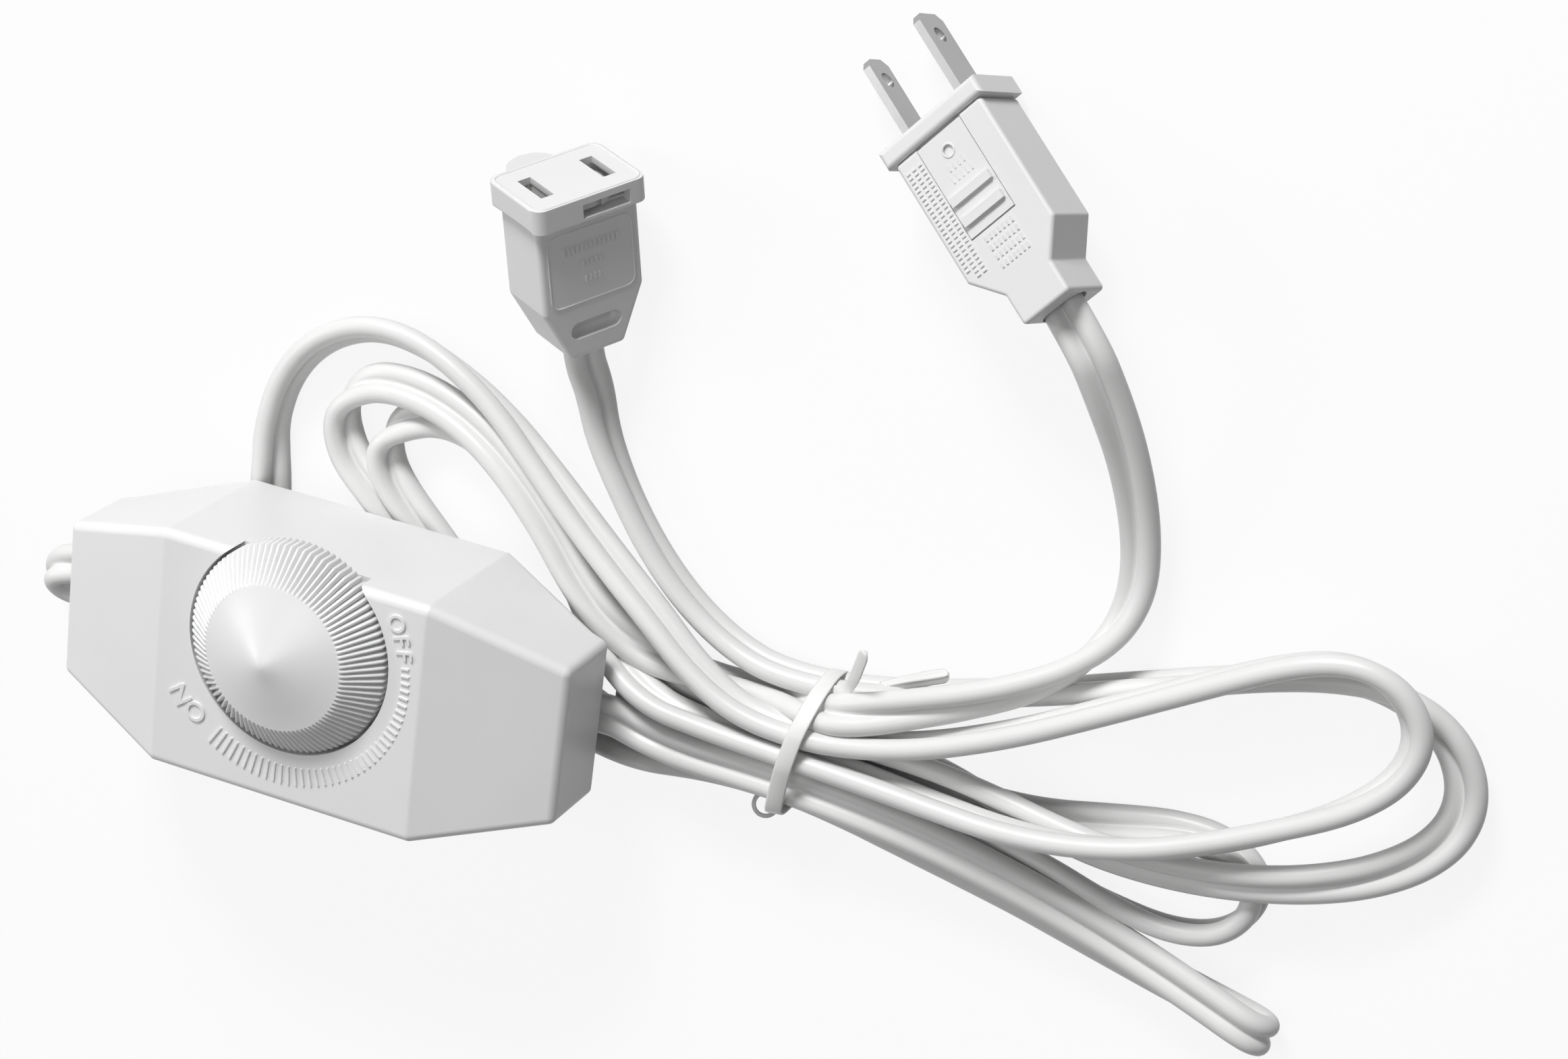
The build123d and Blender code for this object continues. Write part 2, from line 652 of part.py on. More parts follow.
# rotary shutter: a disc under the face with two slots, turned by a round tab
# that sticks out behind the flange
with BuildPart() as safety_shutter:
    with BuildSketch(Plane.XY.offset(SHUTTER_Z)):
        Circle(SHUTTER_R)
        with Locations((-1.0, -9.6)):
            Circle(TAB_R)
        with BuildLine():
            Polyline((3.0, 5.8), (2.4, 7.5), (3.9, 6.9), (5.0, 6.1), (4.3, 5.0), close=True)
        make_face()
        with Locations((-BLADE_PITCH / 2, 0), (BLADE_PITCH / 2, 0)):
            Rectangle(SLOT_T + 0.4, SLOT_L + 0.3, mode=Mode.SUBTRACT)
    extrude(amount=SHUTTER_T)
keep("safety_shutter", safety_shutter.part, SOCKET)

# Cords. Nine strands pass through the tie in two layers. A slot is one
# strand's place there: its offset in steps across the bundle, its height,
# and how far it runs on straight past the tie's left and right edge.
SLOTS = {
    1: (2, Z1, 0, 0), 2: (1.5, Z2, 0, 0), 3: (0.5, Z2, 2.6, 3), 4: (-0.5, Z2, 9.5, 2),
    5: (1, Z1, 2.5, 2), 6: (0, Z1, 2.6, 3), 7: (-1, Z1, 8, 3), 8: (-2, Z1, 8, 0),
    9: (-1.5, Z2, 3, 2),
}
BEND_RUN = 6.0         # a bend starts at most this far before its corner
LEFT = -1
RIGHT = 1


def slot(number, side=0):
    across, z, run_left, run_right = SLOTS[number]
    run = run_left if side < 0 else run_right
    x = TIE_X + side * (TIE_L / 2 + run)
    return (x, TIE_Y + across * STEP, z + TIE_LIFT)


def leg(start, end, bulge, z_first):
    # two points between the tie and a loop's tip, moved sideways by the bulge
    out = []
    dx = end[0] - start[0]
    dy = end[1] - start[1]
    size = math.hypot(dx, dy)
    nx, ny = (-dy / size, dx / size) if dx > 0 else (dy / size, -dx / size)
    for t, z in ((0.36, z_first), (0.7, end[2])):
        k = 4 * t * (1 - t) * bulge
        out.append((start[0] + dx * t + nx * k, start[1] + dy * t + ny * k, z))
    return out


def loop(side, slots, centre, radius, heading, turn, bulges, z_tip, z_first):
    # out of the tie at one slot, round a tip of four corners, in at the other
    a = slot(slots[0], side)
    b = slot(slots[1], side)
    tip = []
    for i in range(4):
        t = math.radians(heading + turn * (45 * i - 67.5))
        r = radius / math.cos(math.radians(22.5))
        tip.append((centre[0] + r * math.cos(t), centre[1] + r * math.sin(t), z_tip))
    back = leg(b, tip[-1], bulges[1], z_first[1])
    return [a] + leg(a, tip[0], bulges[0], z_first[0]) + tip + back[::-1] + [b]


def corner_radii(pts):
    out = []
    for i in range(1, len(pts) - 1):
        u = Vector(*pts[i]) - Vector(*pts[i - 1])
        v = Vector(*pts[i + 1]) - Vector(*pts[i])
        half = math.radians(max(u.get_angle(v), 0.01)) / 2
        run = min(0.45 * min(u.length, v.length), BEND_RUN)
        out.append(min(run / math.tan(half), 400.0))
    return out


def tube(name, pts):
    radii = corner_radii(pts)
    with BuildPart() as cord:
        with BuildLine() as path:
            run = FilletPolyline(*pts, radius=radii)
        with BuildSketch(Plane(origin=run @ 0, z_dir=run % 0)):
            Circle(TUBE_D / 2)
        sweep(path=path.wire())
    wire = path.wire()
    keep(name, cord.part, Plane.XY)
    want = math.pi * TUBE_D ** 2 / 4 * wire.length
    print("  length", round(wire.length, 1), "volume over section x length",
          round(cord.part.volume / want, 4), "radii", [round(r, 1) for r in radii])
    count = int(wire.length / 1.6)
    return [wire.position_at(i / count) for i in range(count + 1)], wire.length


def least_gap(a, b, length):
    best = 1e9
    step = length / (len(a) - 1)
    skip = int(3.2 * TUBE_D / step) if a is b else 0
    for i, p in enumerate(a):
        for q in b[i + skip:] if a is b else b:
            d = (p.X - q.X) ** 2 + (p.Y - q.Y) ** 2 + (p.Z - q.Z) ** 2
            if d < best:
                best = d
    return math.sqrt(best) - TUBE_D


def on_axis(plane, z):
    p = plane.origin + plane.z_dir * z
    return (p.X, p.Y, p.Z)


def exit_point(sign, out):
    # on the cord's straight through the tapered back, outwards from its face
    d = math.radians(EXIT_SLOPE)
    return (
        SHIFT.X + sign * (EXIT_X + out * math.cos(d)), SHIFT.Y,
        SHIFT.Z + EXIT_Z - out * math.sin(d),
    )


CORD_IN = 8.4          # cord inside the tapered back
plug_lead = [
    on_axis(PLUG, FUSE_Z + FUSE_L + 0.6), on_axis(PLUG, 45), (139.6, 83.2, FLOOR + 16),
    (145.5, 71.2, FLOOR + 11), (148.6, 58.3, FLOOR + 5.5), (148.5, 47, Z1), (144.5, 37, Z1),
    (137.5, 30.5, Z1 + 4.5), (129, 24.5, Z3 - 1.5), (121, 18.5, Z3 + 0.3),
    (112.5, 10.5, Z3 + 0.6), (104.5, 3.5, Z2 + 4), (98, slot(3)[1], slot(3)[2]), slot(3),
]
plug_hank = [slot(3)]
plug_hank += loop(LEFT, (3, 8), (-1, 37.8), 13, 153, 1, (0.8, -9.6), Z1, (Z2, Z1))
plug_hank += loop(RIGHT, (8, 9), (180, -26), 6.2, -11, 1, (-0.8, -0.8), Z1, (Z1, Z2))
plug_hank += [slot(9)]
plug_tail = [
    slot(9), (70, slot(9)[1], slot(9)[2]), (59.6, -7.4, Z2 - 0.4), exit_point(1, 5.5),
    exit_point(1, -CORD_IN),
]
socket_lead = [
    on_axis(SOCKET, FLANGE_L + 12.8), on_axis(SOCKET, 36), (39, 58, Z1 + 1), (43, 48, Z1),
    (50, 37.5, Z1), (58, 28.3, Z1), (67, 19.5, Z1), (73.5, 14.4, Z1),
    slot(1, LEFT), slot(1),
]
socket_hank = [slot(1)]
socket_hank += loop(RIGHT, (1, 5), (197, 28), 14, 10, -1, (0.8, 1), Z1, (Z1, Z1))
socket_hank += loop(LEFT, (5, 6), (61.2, 7.2), 5.7, 165, 1, (0.8, 0.7), Z1, (Z1, Z1))
socket_hank += loop(RIGHT, (6, 7), (170, -3), 7, -3, -1, (-1.5, 1), Z1, (Z1, Z1))
socket_hank += loop(LEFT, (7, 4), (12, 29), 7.6, 155, -1, (-6, -5), Z1, (Z1, Z2))
socket_hank += loop(RIGHT, (4, 2), (184, 27), 15.5, 12, 1, (-6, -3), Z2, (Z2, Z2))
socket_hank += [slot(2)]
socket_tail = [
    slot(2), slot(2, LEFT), (69, 13.8, Z2), (58, 22.6, Z2), (48, 31, Z1 + 2), (38.5, 41, Z1),
    (28, 51, Z1), (15, 58.5, Z1), (0, 61, Z1), (-14, 57, Z1), (-25, 48, Z1), (-29, 36, Z1),
    (-28, 24, Z1), (-28.5, 12, Z1), (-34, 0, Z1), (-44, -9.5, Z1), (-56, -14.5, Z1),
    (-70, -15.5, Z1 + 0.3), (-72.5, -8.5, Z2 + 0.3), (-62, -4.6, Z2 + 0.6), exit_point(-1, 7),
    exit_point(-1, -CORD_IN),
]
routes = {
    "plug_cord_lead": plug_lead, "plug_cord_hank": plug_hank, "plug_cord_tail": plug_tail,
    "socket_cord_lead": socket_lead, "socket_cord_hank": socket_hank,
    "socket_cord_tail": socket_tail,
}
lines = {}
for name, pts in routes.items():
    lines[name] = tube(name, pts)
for name in ("plug_cord_hank", "socket_cord_hank"):
    line, length = lines[name]
    print(name, "least gap to itself", round(least_gap(line, line, length), 2), "mm")
names = list(lines)
for i, a in enumerate(names):
    for b in names[i + 1:]:
        if abs((lines[a][0][-1] - lines[b][0][0]).length) > 1:
            gap = least_gap(lines[a][0], lines[b][0], lines[a][1])
            print(" ", a, "to", b, "gap", round(gap, 2))

# twist tie: a band round the nine strands and its two loose ends
CENTRES = [(-2 * STEP, Z1), (2 * STEP, Z1), (1.5 * STEP, Z2), (-1.5 * STEP, Z2)]
TIE_W = 3.2
with BuildPart() as twist_tie:
    for grow, mode in ((TUBE_D / 2 + TIE_LIFT, Mode.ADD), (TUBE_D / 2 + 0.05, Mode.SUBTRACT)):
        with BuildSketch(Plane.YZ.offset(TIE_X - TIE_W / 2)):
            with BuildLine():
                Polyline(*[(TIE_Y + y, z + TIE_LIFT) for y, z in CENTRES], close=True)
            make_face()
            offset(amount=grow, kind=Kind.ARC)
        extrude(amount=TIE_W, mode=mode)
    for end in (
        [(88, 9.8, Z2 + 2.6), (90, 14.5, Z2 + 4), (91.5, 19, Z2 + 4.6), (95, 24, Z2 + 7), (96.5, 27, Z2 + 11)],
        [(88, 11.4, Z2 + 0.4), (91, 16.2, Z1 + 4), (97.5, 21.5, Z1 + 3.2), (105, 24.5, Z1 + 3.2), (112, 28, Z1 + 5)],
    ):
        with BuildLine() as path:
            run = FilletPolyline(*end, radius=corner_radii(end))
        with BuildSketch(Plane(origin=run @ 0, z_dir=run % 0)):
            Circle(0.9)
        sweep(path=path.wire())
keep("twist_tie", twist_tie.part, Plane.XY)

whole = Compound(children=list(made.values()))
box = whole.bounding_box()
print("whole box", box.min, box.max, "nodes", len(made))
body = Compound(children=[made[n] for n in ("front_housing", "back_cover", "dial_knob")])
box = body.bounding_box()
print("dimmer box", box.min, box.max, "floor", FLOOR)
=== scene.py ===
import math

import bmesh
import bpy
from mathutils import Matrix, Vector


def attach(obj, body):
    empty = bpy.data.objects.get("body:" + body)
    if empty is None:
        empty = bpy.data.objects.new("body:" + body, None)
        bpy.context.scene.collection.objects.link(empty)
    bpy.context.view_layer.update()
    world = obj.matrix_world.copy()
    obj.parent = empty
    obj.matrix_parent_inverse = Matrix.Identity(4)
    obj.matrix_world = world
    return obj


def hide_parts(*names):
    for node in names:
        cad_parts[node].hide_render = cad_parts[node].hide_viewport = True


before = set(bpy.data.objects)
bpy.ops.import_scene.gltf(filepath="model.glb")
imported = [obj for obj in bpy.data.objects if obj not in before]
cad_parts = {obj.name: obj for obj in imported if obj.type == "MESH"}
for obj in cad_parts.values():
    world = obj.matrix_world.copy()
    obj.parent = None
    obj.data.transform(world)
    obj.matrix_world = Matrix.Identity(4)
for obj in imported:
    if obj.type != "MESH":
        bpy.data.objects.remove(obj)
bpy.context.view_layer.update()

MM = 0.001

# sizes that part.py also has, in millimetres
HEIGHT = 48.0
DEPTH = 33.0
DIAL_Y = 7.8
DIAL_R = 20.4
DIAL_CONE_R = 14.5
DIAL_TOP_Z = DEPTH + 10.0
SHIFT = Vector((0, -(DIAL_Y + DIAL_R - HEIGHT / 2) / 2, -DIAL_TOP_Z / 2))
DIAL_SKIRT_Z = DEPTH - 4.2
DIAL_CONE_Z = DEPTH + 5.5
DIAL_RIM_Z = DEPTH + 0.5
DIAL_RIBS = 96
FLOOR = SHIFT.z - 6.0
EXIT_X = 46.5
EXIT_Z = 6.706
EXIT_SLOPE = math.radians(24)
CORD_IN = 8.4
CORD_W = 8.0
CORD_T = 4.0
PLUG_AT = Vector((100.4, 123.2, FLOOR + 7.8))
SOCKET_AT = Vector((35.9, 99.5, FLOOR + 17.0))
PLUG_TILT = math.radians(15.5)
PLUG_HEADING = math.radians(-40.0)
PLUG_Z = Vector((
    math.cos(PLUG_TILT) * math.cos(PLUG_HEADING),
    math.cos(PLUG_TILT) * math.sin(PLUG_HEADING),
    math.sin(PLUG_TILT),
))
PLUG_X = Vector((-math.sin(PLUG_HEADING), math.cos(PLUG_HEADING), 0))
SOCKET_X = Vector((0.52, 0.248, -0.818)).normalized()
SOCKET_Z = Vector((0.07, -0.966, -0.248)).normalized()
SOCKET_X = (SOCKET_X - SOCKET_Z * SOCKET_X.dot(SOCKET_Z)).normalized()


# camera and light
def make_camera():
    # place and turn were fitted to the dimmer's corners, the plug and the socket
    at = Vector((275.13, 270.22, 508.18)) * MM
    right = Vector((0.91307665, 0.12407581, -0.38845364))
    down = Vector((0.2541497, -0.91809963, 0.30413977))
    ahead = Vector((-0.31890276, -0.3764283, -0.86982916))
    data = bpy.data.cameras.new("camera")
    data.lens = 77.45
    data.sensor_width = 36
    data.clip_end = 20
    cam = bpy.data.objects.new("camera", data)
    turn = Matrix((right, -down, -ahead)).transposed().to_4x4()
    cam.matrix_world = Matrix.Translation(at) @ turn
    bpy.context.collection.objects.link(cam)
    bpy.context.scene.camera = cam


make_camera()


def area_light(name, at, size, power):
    # a round lamp at a place in metres, turned to the lit point
    data = bpy.data.lights.new(name, "AREA")
    data.shape = "DISK"
    data.size = size
    data.energy = power
    lamp = bpy.data.objects.new(name, data)
    lamp.location = at
    lamp.rotation_mode = "QUATERNION"
    lamp.rotation_quaternion = (Vector(at) - LIT_POINT).to_track_quat("Z", "Y")
    bpy.context.collection.objects.link(lamp)


LIT_POINT = Vector((0.06, 0.03, -0.02))     # metres
area_light("key", (-0.2, 1.25, 0.72), 0.45, 18.8)
area_light("left", (-1.0, 0.1, 0.7), 0.5, 3.2)
area_light("top", (-0.1, 0.1, 1.3), 0.6, 2.0)


def seen_rays(nt):
    # 1 for camera, glossy and transmission rays
    path = nt.nodes.new("ShaderNodeLightPath")
    last = path.outputs["Is Camera Ray"]
    for kind in ("Is Glossy Ray", "Is Transmission Ray"):
        more = nt.nodes.new("ShaderNodeMath")
        more.operation = "MAXIMUM"
        nt.links.new(last, more.inputs[0])
        nt.links.new(path.outputs[kind], more.inputs[1])
        last = more.outputs[0]
    return last


def mix_shaders(nt, share, first, second):
    # share of the second shader: a number, or the output that gives it
    mix = nt.nodes.new("ShaderNodeMixShader")
    if isinstance(share, float):
        mix.inputs[0].default_value = share
    else:
        nt.links.new(share, mix.inputs[0])
    nt.links.new(first.outputs[0], mix.inputs[1])
    nt.links.new(second.outputs[0], mix.inputs[2])
    return mix


def grey_shader(nt, kind, grey, strength=None):
    node = nt.nodes.new(kind)
    node.inputs["Color"].default_value = (grey, grey, grey, 1)
    if strength is not None:
        node.inputs["Strength"].default_value = strength
    return node


ROOM_LIGHT = 0.17


def make_world():
    # a white room to look at, and a dim one to be lit by
    bpy.context.scene.view_settings.view_transform = "Standard"
    world = bpy.data.worlds.new("studio")
    bpy.context.scene.world = world
    world.use_nodes = True
    nt = world.node_tree
    nt.nodes.clear()
    room = grey_shader(nt, "ShaderNodeBackground", 1.0, ROOM_LIGHT)
    seen = grey_shader(nt, "ShaderNodeBackground", 1.0, 1.0)
    mix = mix_shaders(nt, seen_rays(nt), room, seen)
    out = nt.nodes.new("ShaderNodeOutputWorld")
    nt.links.new(mix.outputs[0], out.inputs[0])


make_world()

FLOOR_REACH = 4.0       # metres, as is the gap
FLOOR_GAP = 0.0002
FLOOR_GREY = 0.9
FLOOR_GLOW = 0.88
FLOOR_BOUNCE = 0.38


def make_floor():
    # looks nearly white, takes soft shadows, and throws less light back at the part
    mesh = bpy.data.meshes.new("floor")
    r = FLOOR_REACH
    z = FLOOR * MM - FLOOR_GAP
    mesh.from_pydata([(-r, -r, z), (r, -r, z), (r, r, z), (-r, r, z)], [], [(0, 1, 2, 3)])
    obj = bpy.data.objects.new("floor", mesh)
    bpy.context.collection.objects.link(obj)
    mat = bpy.data.materials.new("floor")
    mat.use_nodes = True
    nt = mat.node_tree
    nt.nodes.clear()
    matt = grey_shader(nt, "ShaderNodeBsdfDiffuse", FLOOR_GREY)
    glow = grey_shader(nt, "ShaderNodeEmission", 1.0, 1.0)
    bounce = grey_shader(nt, "ShaderNodeBsdfDiffuse", FLOOR_BOUNCE)
    seen = mix_shaders(nt, FLOOR_GLOW, matt, glow)
    mix = mix_shaders(nt, seen_rays(nt), bounce, seen)
    out = nt.nodes.new("ShaderNodeOutputMaterial")
    nt.links.new(mix.outputs[0], out.inputs[0])
    mesh.materials.append(mat)


make_floor()


# materials; the gloss spread and the dark tone are shares of the given values
CLOUD_SCALE = 38.0
CLOUD_DETAIL = 4.0
TONE_STOPS = (0.3, 0.7)
GLOSS_SPREAD = (0.88, 1.14)
COAT_ROUGH = 0.25
WAVE_BEND = 1.5


def add_noise(nt, where, scale, detail=3.0):
    node = nt.nodes.new("ShaderNodeTexNoise")
    node.inputs["Scale"].default_value = scale
    node.inputs["Detail"].default_value = detail
    nt.links.new(where.outputs["Object"], node.inputs["Vector"])
    return node


def finish(
    name, colour, rough, bump, grain, metallic=0.0, coat=0.0, dark=0.965, depth=0.04, waves=None,
):
    # one surface: cloudy tone down to dark, uneven gloss, and a relief of fine grain or of
    # waves, with grain as its scale, bump as its strength and depth in millimetres
    mat = bpy.data.materials.new(name)
    mat.use_nodes = True
    nt = mat.node_tree
    bsdf = nt.nodes["Principled BSDF"]
    where = nt.nodes.new("ShaderNodeTexCoord")
    cloud = add_noise(nt, where, CLOUD_SCALE, CLOUD_DETAIL)
    tone = nt.nodes.new("ShaderNodeValToRGB")
    for stop, at, share in zip(tone.color_ramp.elements, TONE_STOPS, (dark, 1.0)):
        stop.color = (*[c * share for c in colour], 1)
        stop.position = at
    sheen = nt.nodes.new("ShaderNodeMapRange")
    sheen.inputs["To Min"].default_value = rough * GLOSS_SPREAD[0]
    sheen.inputs["To Max"].default_value = rough * GLOSS_SPREAD[1]
    if waves:
        fine = nt.nodes.new("ShaderNodeTexWave")
        fine.bands_direction = waves
        fine.inputs["Scale"].default_value = grain
        fine.inputs["Distortion"].default_value = WAVE_BEND
        nt.links.new(where.outputs["Object"], fine.inputs["Vector"])
    else:
        fine = add_noise(nt, where, grain)
    relief = nt.nodes.new("ShaderNodeBump")
    relief.inputs["Strength"].default_value = bump
    relief.inputs["Distance"].default_value = depth * MM
    nt.links.new(cloud.outputs["Fac"], tone.inputs["Fac"])
    nt.links.new(tone.outputs["Color"], bsdf.inputs["Base Color"])
    nt.links.new(cloud.outputs["Fac"], sheen.inputs["Value"])
    nt.links.new(sheen.outputs["Result"], bsdf.inputs["Roughness"])
    nt.links.new(fine.outputs["Fac"], relief.inputs["Height"])
    nt.links.new(relief.outputs["Normal"], bsdf.inputs["Normal"])
    bsdf.inputs["Metallic"].default_value = metallic
    bsdf.inputs["Coat Weight"].default_value = coat
    bsdf.inputs["Coat Roughness"].default_value = COAT_ROUGH
    return mat


def glass(name):
    mat = finish(name, (0.93, 0.95, 0.94), 0.06, 0.05, 900.0)
    bsdf = mat.node_tree.nodes["Principled BSDF"]
    bsdf.inputs["Transmission Weight"].default_value = 0.85
    bsdf.inputs["IOR"].default_value = 1.47
    return mat


SHELL = finish("shell_plastic", (0.80, 0.80, 0.80), 0.40, 0.30, 2600.0)
KNOB = finish("knob_plastic", (0.80, 0.80, 0.80), 0.30, 0.10, 2200.0, coat=0.25)
PLUG_WHITE = finish("plug_plastic", (0.73, 0.73, 0.73), 0.44, 0.40, 2300.0)
VINYL = finish("cord_vinyl", (0.76, 0.76, 0.755), 0.38, 0.18, 1500.0)
TIE = finish("tie_plastic", (0.82, 0.82, 0.81), 0.34, 0.20, 1900.0)
NICKEL = finish("nickel_plate", (0.40, 0.40, 0.40), 0.26, 0.004, 2400.0, metallic=1.0, dark=0.85)
BRASS = finish("brass_sheet", (0.78, 0.60, 0.30), 0.30, 0.15, 800.0, metallic=1.0, dark=0.85)
STEEL = finish("screw_steel", (0.60, 0.60, 0.62), 0.32, 0.20, 900.0, metallic=1.0, dark=0.85)
POT_STEEL = finish("pot_steel", (0.66, 0.66, 0.65), 0.38, 0.25, 600.0, metallic=1.0, dark=0.85)
ALUMINIUM = finish(
    "sink_aluminium", (0.78, 0.78, 0.78), 0.42, 0.30, 260.0, metallic=1.0, waves="Y", dark=0.9,
)
BOARD = finish("board_resin", (0.55, 0.40, 0.20), 0.55, 0.30, 500.0, dark=0.8, waves="DIAGONAL")
SHAFT = finish("shaft_plastic", (0.72, 0.72, 0.70), 0.45, 0.30, 1500.0)
BLACK = finish("black_plastic", (0.03, 0.03, 0.03), 0.42, 0.35, 1400.0, dark=0.7)
COPPER = finish(
    "copper_wire", (0.72, 0.34, 0.18), 0.28, 0.9, 420.0, metallic=1.0, dark=0.8, depth=0.2,
    waves="X",
)
CAPACITOR = finish("film_capacitor", (0.62, 0.36, 0.08), 0.32, 0.15, 500.0, coat=0.4, dark=0.85)
RESISTOR = finish("resistor_body", (0.66, 0.54, 0.36), 0.45, 0.25, 900.0, dark=0.85)
SHUTTER = finish("shutter_plastic", (0.68, 0.68, 0.68), 0.44, 0.30, 2300.0)
GLASS = glass("fuse_glass")
SURFACES = {
    "front_housing": SHELL, "back_cover": SHELL, "cover_screws": STEEL, "circuit_board": BOARD,
    "potentiometer": POT_STEEL, "potentiometer_nut": STEEL, "dial_shaft": SHAFT,
    "dial_knob": KNOB, "heat_sink": ALUMINIUM, "triac": BLACK, "choke_core": BLACK,
    "choke_winding": COPPER, "filter_capacitor": CAPACITOR, "timing_capacitor": CAPACITOR,
    "diac": GLASS, "resistors": RESISTOR, "terminal_block_left": BLACK,
    "terminal_block_right": BLACK, "cord_clamp_left": SHAFT, "cord_clamp_right": SHAFT,
    "through_wire": VINYL, "plug_shell_front": PLUG_WHITE, "plug_shell_back": PLUG_WHITE,
    "blade_narrow": NICKEL, "blade_wide": NICKEL, "fuse_door": PLUG_WHITE, "fuses": GLASS,
    "fuse_clips": BRASS, "socket_shell_front": PLUG_WHITE, "socket_shell_back": PLUG_WHITE,
    "contact_left": BRASS, "contact_right": BRASS, "safety_shutter": SHUTTER,
}


# meshes
def new_piece(name, bm, material, body="root", smooth_angle=None):
    bmesh.ops.recalc_face_normals(bm, faces=bm.faces)
    mesh = bpy.data.meshes.new(name)
    bm.to_mesh(mesh)
    bm.free()
    mesh.materials.append(material)
    if smooth_angle:
        mesh.set_sharp_from_angle(angle=math.radians(smooth_angle))
    obj = bpy.data.objects.new(name, mesh)
    bpy.context.collection.objects.link(obj)
    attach(obj, body)
    return obj


def smooth_line(pts, fineness=10, closed=False):
    # points in millimetres, of which only x, y and z count; the line is in metres
    curve = bpy.data.curves.new("line", "CURVE")
    curve.dimensions = "3D"
    spline = curve.splines.new("NURBS")
    spline.points.add(len(pts) - 1)
    for point, at in zip(spline.points, pts):
        point.co = (*[c * MM for c in at[:3]], 1)
    spline.order_u = 3
    if closed:
        spline.use_cyclic_u = True
    else:
        spline.use_endpoint_u = True
    spline.resolution_u = fineness
    obj = bpy.data.objects.new("line", curve)
    bpy.context.collection.objects.link(obj)
    mesh = bpy.data.meshes.new_from_object(obj)
    line = [v.co.copy() for v in mesh.vertices]
    bpy.data.objects.remove(obj)
    bpy.data.curves.remove(curve)
    bpy.data.meshes.remove(mesh)
    return line


def sweep(bm, line, wide, ring, closed=False, sizes=None):
    # a section (x along the wide direction, y across it) carried along a line; sizes scale
    # its x from point to point
    n = len(line)
    rings = []
    for i in range(n):
        if closed:
            t = (line[(i + 1) % n] - line[i - 1]).normalized()
        else:
            t = (line[min(i + 1, n - 1)] - line[max(i - 1, 0)]).normalized()
        w = (wide[i] - t * wide[i].dot(t)).normalized()
        h = t.cross(w)
        k = sizes[i] if sizes else 1.0
        rings.append([bm.verts.new(line[i] + w * x * k + h * y) for x, y in ring])
    m = len(ring)
    pairs = list(zip(rings, rings[1:]))
    if closed:
        pairs.append((rings[-1], rings[0]))
    for a, b in pairs:
        for j in range(m):
            f = bm.faces.new((a[j], a[(j + 1) % m], b[(j + 1) % m], b[j]))
            f.smooth = True
    if not closed:
        bm.faces.new(rings[0][::-1])
        bm.faces.new(rings[-1])


# cords: a flat twin of two lobes on one smooth line
LOBE_ARC = 312          # degrees
LOBE_STEPS = 16
TWIST_PASSES = 16


def flat_section():
    r = CORD_T / 2 * MM
    c = (CORD_W - CORD_T) / 2 * MM
    ring = []
    for side in (1, -1):
        for i in range(LOBE_STEPS + 1):
            a = math.radians(-LOBE_ARC / 2 + LOBE_ARC * i / LOBE_STEPS)
            ring.append((side * (c + r * math.cos(a)), side * r * math.sin(a)))
    return ring


def turn_to(tangent, lean):
    # the wide direction, as a vector or a lean from flat (0) to on edge (90)
    if not isinstance(lean, (int, float)):
        wide = Vector(lean)
        return (wide - tangent * wide.dot(tangent)).normalized()
    across = tangent.cross(Vector((0, 0, 1)))
    if across.length < 0.2:
        across = Vector((0, 1, 0))
    across.normalize()
    up = across.cross(tangent).normalized()
    a = math.radians(lean)
    return across * math.cos(a) + up * math.sin(a)


def flat_cord(name, pts):
    # pts are (x, y, z, lean); the leans turn a frame that is carried along without twist
    line = smooth_line(pts)
    n = len(line)
    tangents = []
    for i in range(n):
        tangents.append((line[min(i + 1, n - 1)] - line[max(i - 1, 0)]).normalized())
    wide = turn_to(tangents[0], pts[0][3])
    base = [wide]
    for i in range(1, n):
        wide = tangents[i - 1].rotation_difference(tangents[i]) @ wide
        wide = (wide - tangents[i] * wide.dot(tangents[i])).normalized()
        base.append(wide)
    marks = []
    angle = 0.0
    for k, p in enumerate(pts):
        # each point of the spline has the same share of the line
        near = round(min(max((k - 0.5) / (len(pts) - 2), 0), 1) * (n - 1))
        want = turn_to(tangents[near], p[3])
        cross = tangents[near].cross(base[near])
        a = math.atan2(want.dot(cross), want.dot(base[near]))
        while a - angle > math.pi / 2:
            a -= math.pi
        while a - angle < -math.pi / 2:
            a += math.pi
        angle = a
        marks.append((near, a))
    twist = [0.0] * n
    for (i0, a0), (i1, a1) in zip(marks, marks[1:]):
        for i in range(i0, i1 + 1):
            twist[i] = a0 + (a1 - a0) * (i - i0) / max(i1 - i0, 1)
    for _ in range(TWIST_PASSES):
        twist = [twist[0]] + [
            (twist[i - 1] + 2 * twist[i] + twist[i + 1]) / 4 for i in range(1, n - 1)
        ] + [twist[-1]]
    turned = [
        base[i] * math.cos(twist[i]) + tangents[i].cross(base[i]) * math.sin(twist[i])
        for i in range(n)
    ]
    bm = bmesh.new()
    sweep(bm, line, turned, flat_section())
    length = sum((b - a).length for a, b in zip(line, line[1:]))
    print(name, "length", round(length, 4), "m")
    return new_piece(name, bm, VINYL, smooth_angle=60), line


def on_axis(at, axis, z, lean):
    return (*(at + axis * z), lean)


def exit_point(sign, out):
    # a point on the line of a cord's hole in the dimmer's end; sign is 1 right, -1 left
    return (
        SHIFT.x + sign * (EXIT_X + out * math.cos(EXIT_SLOPE)), SHIFT.y,
        SHIFT.z + EXIT_Z - out * math.sin(EXIT_SLOPE), (0, 1, 0),
    )


def above_floor(pts):
    return [(x, y, FLOOR + h, lean) for x, y, h, lean in pts]


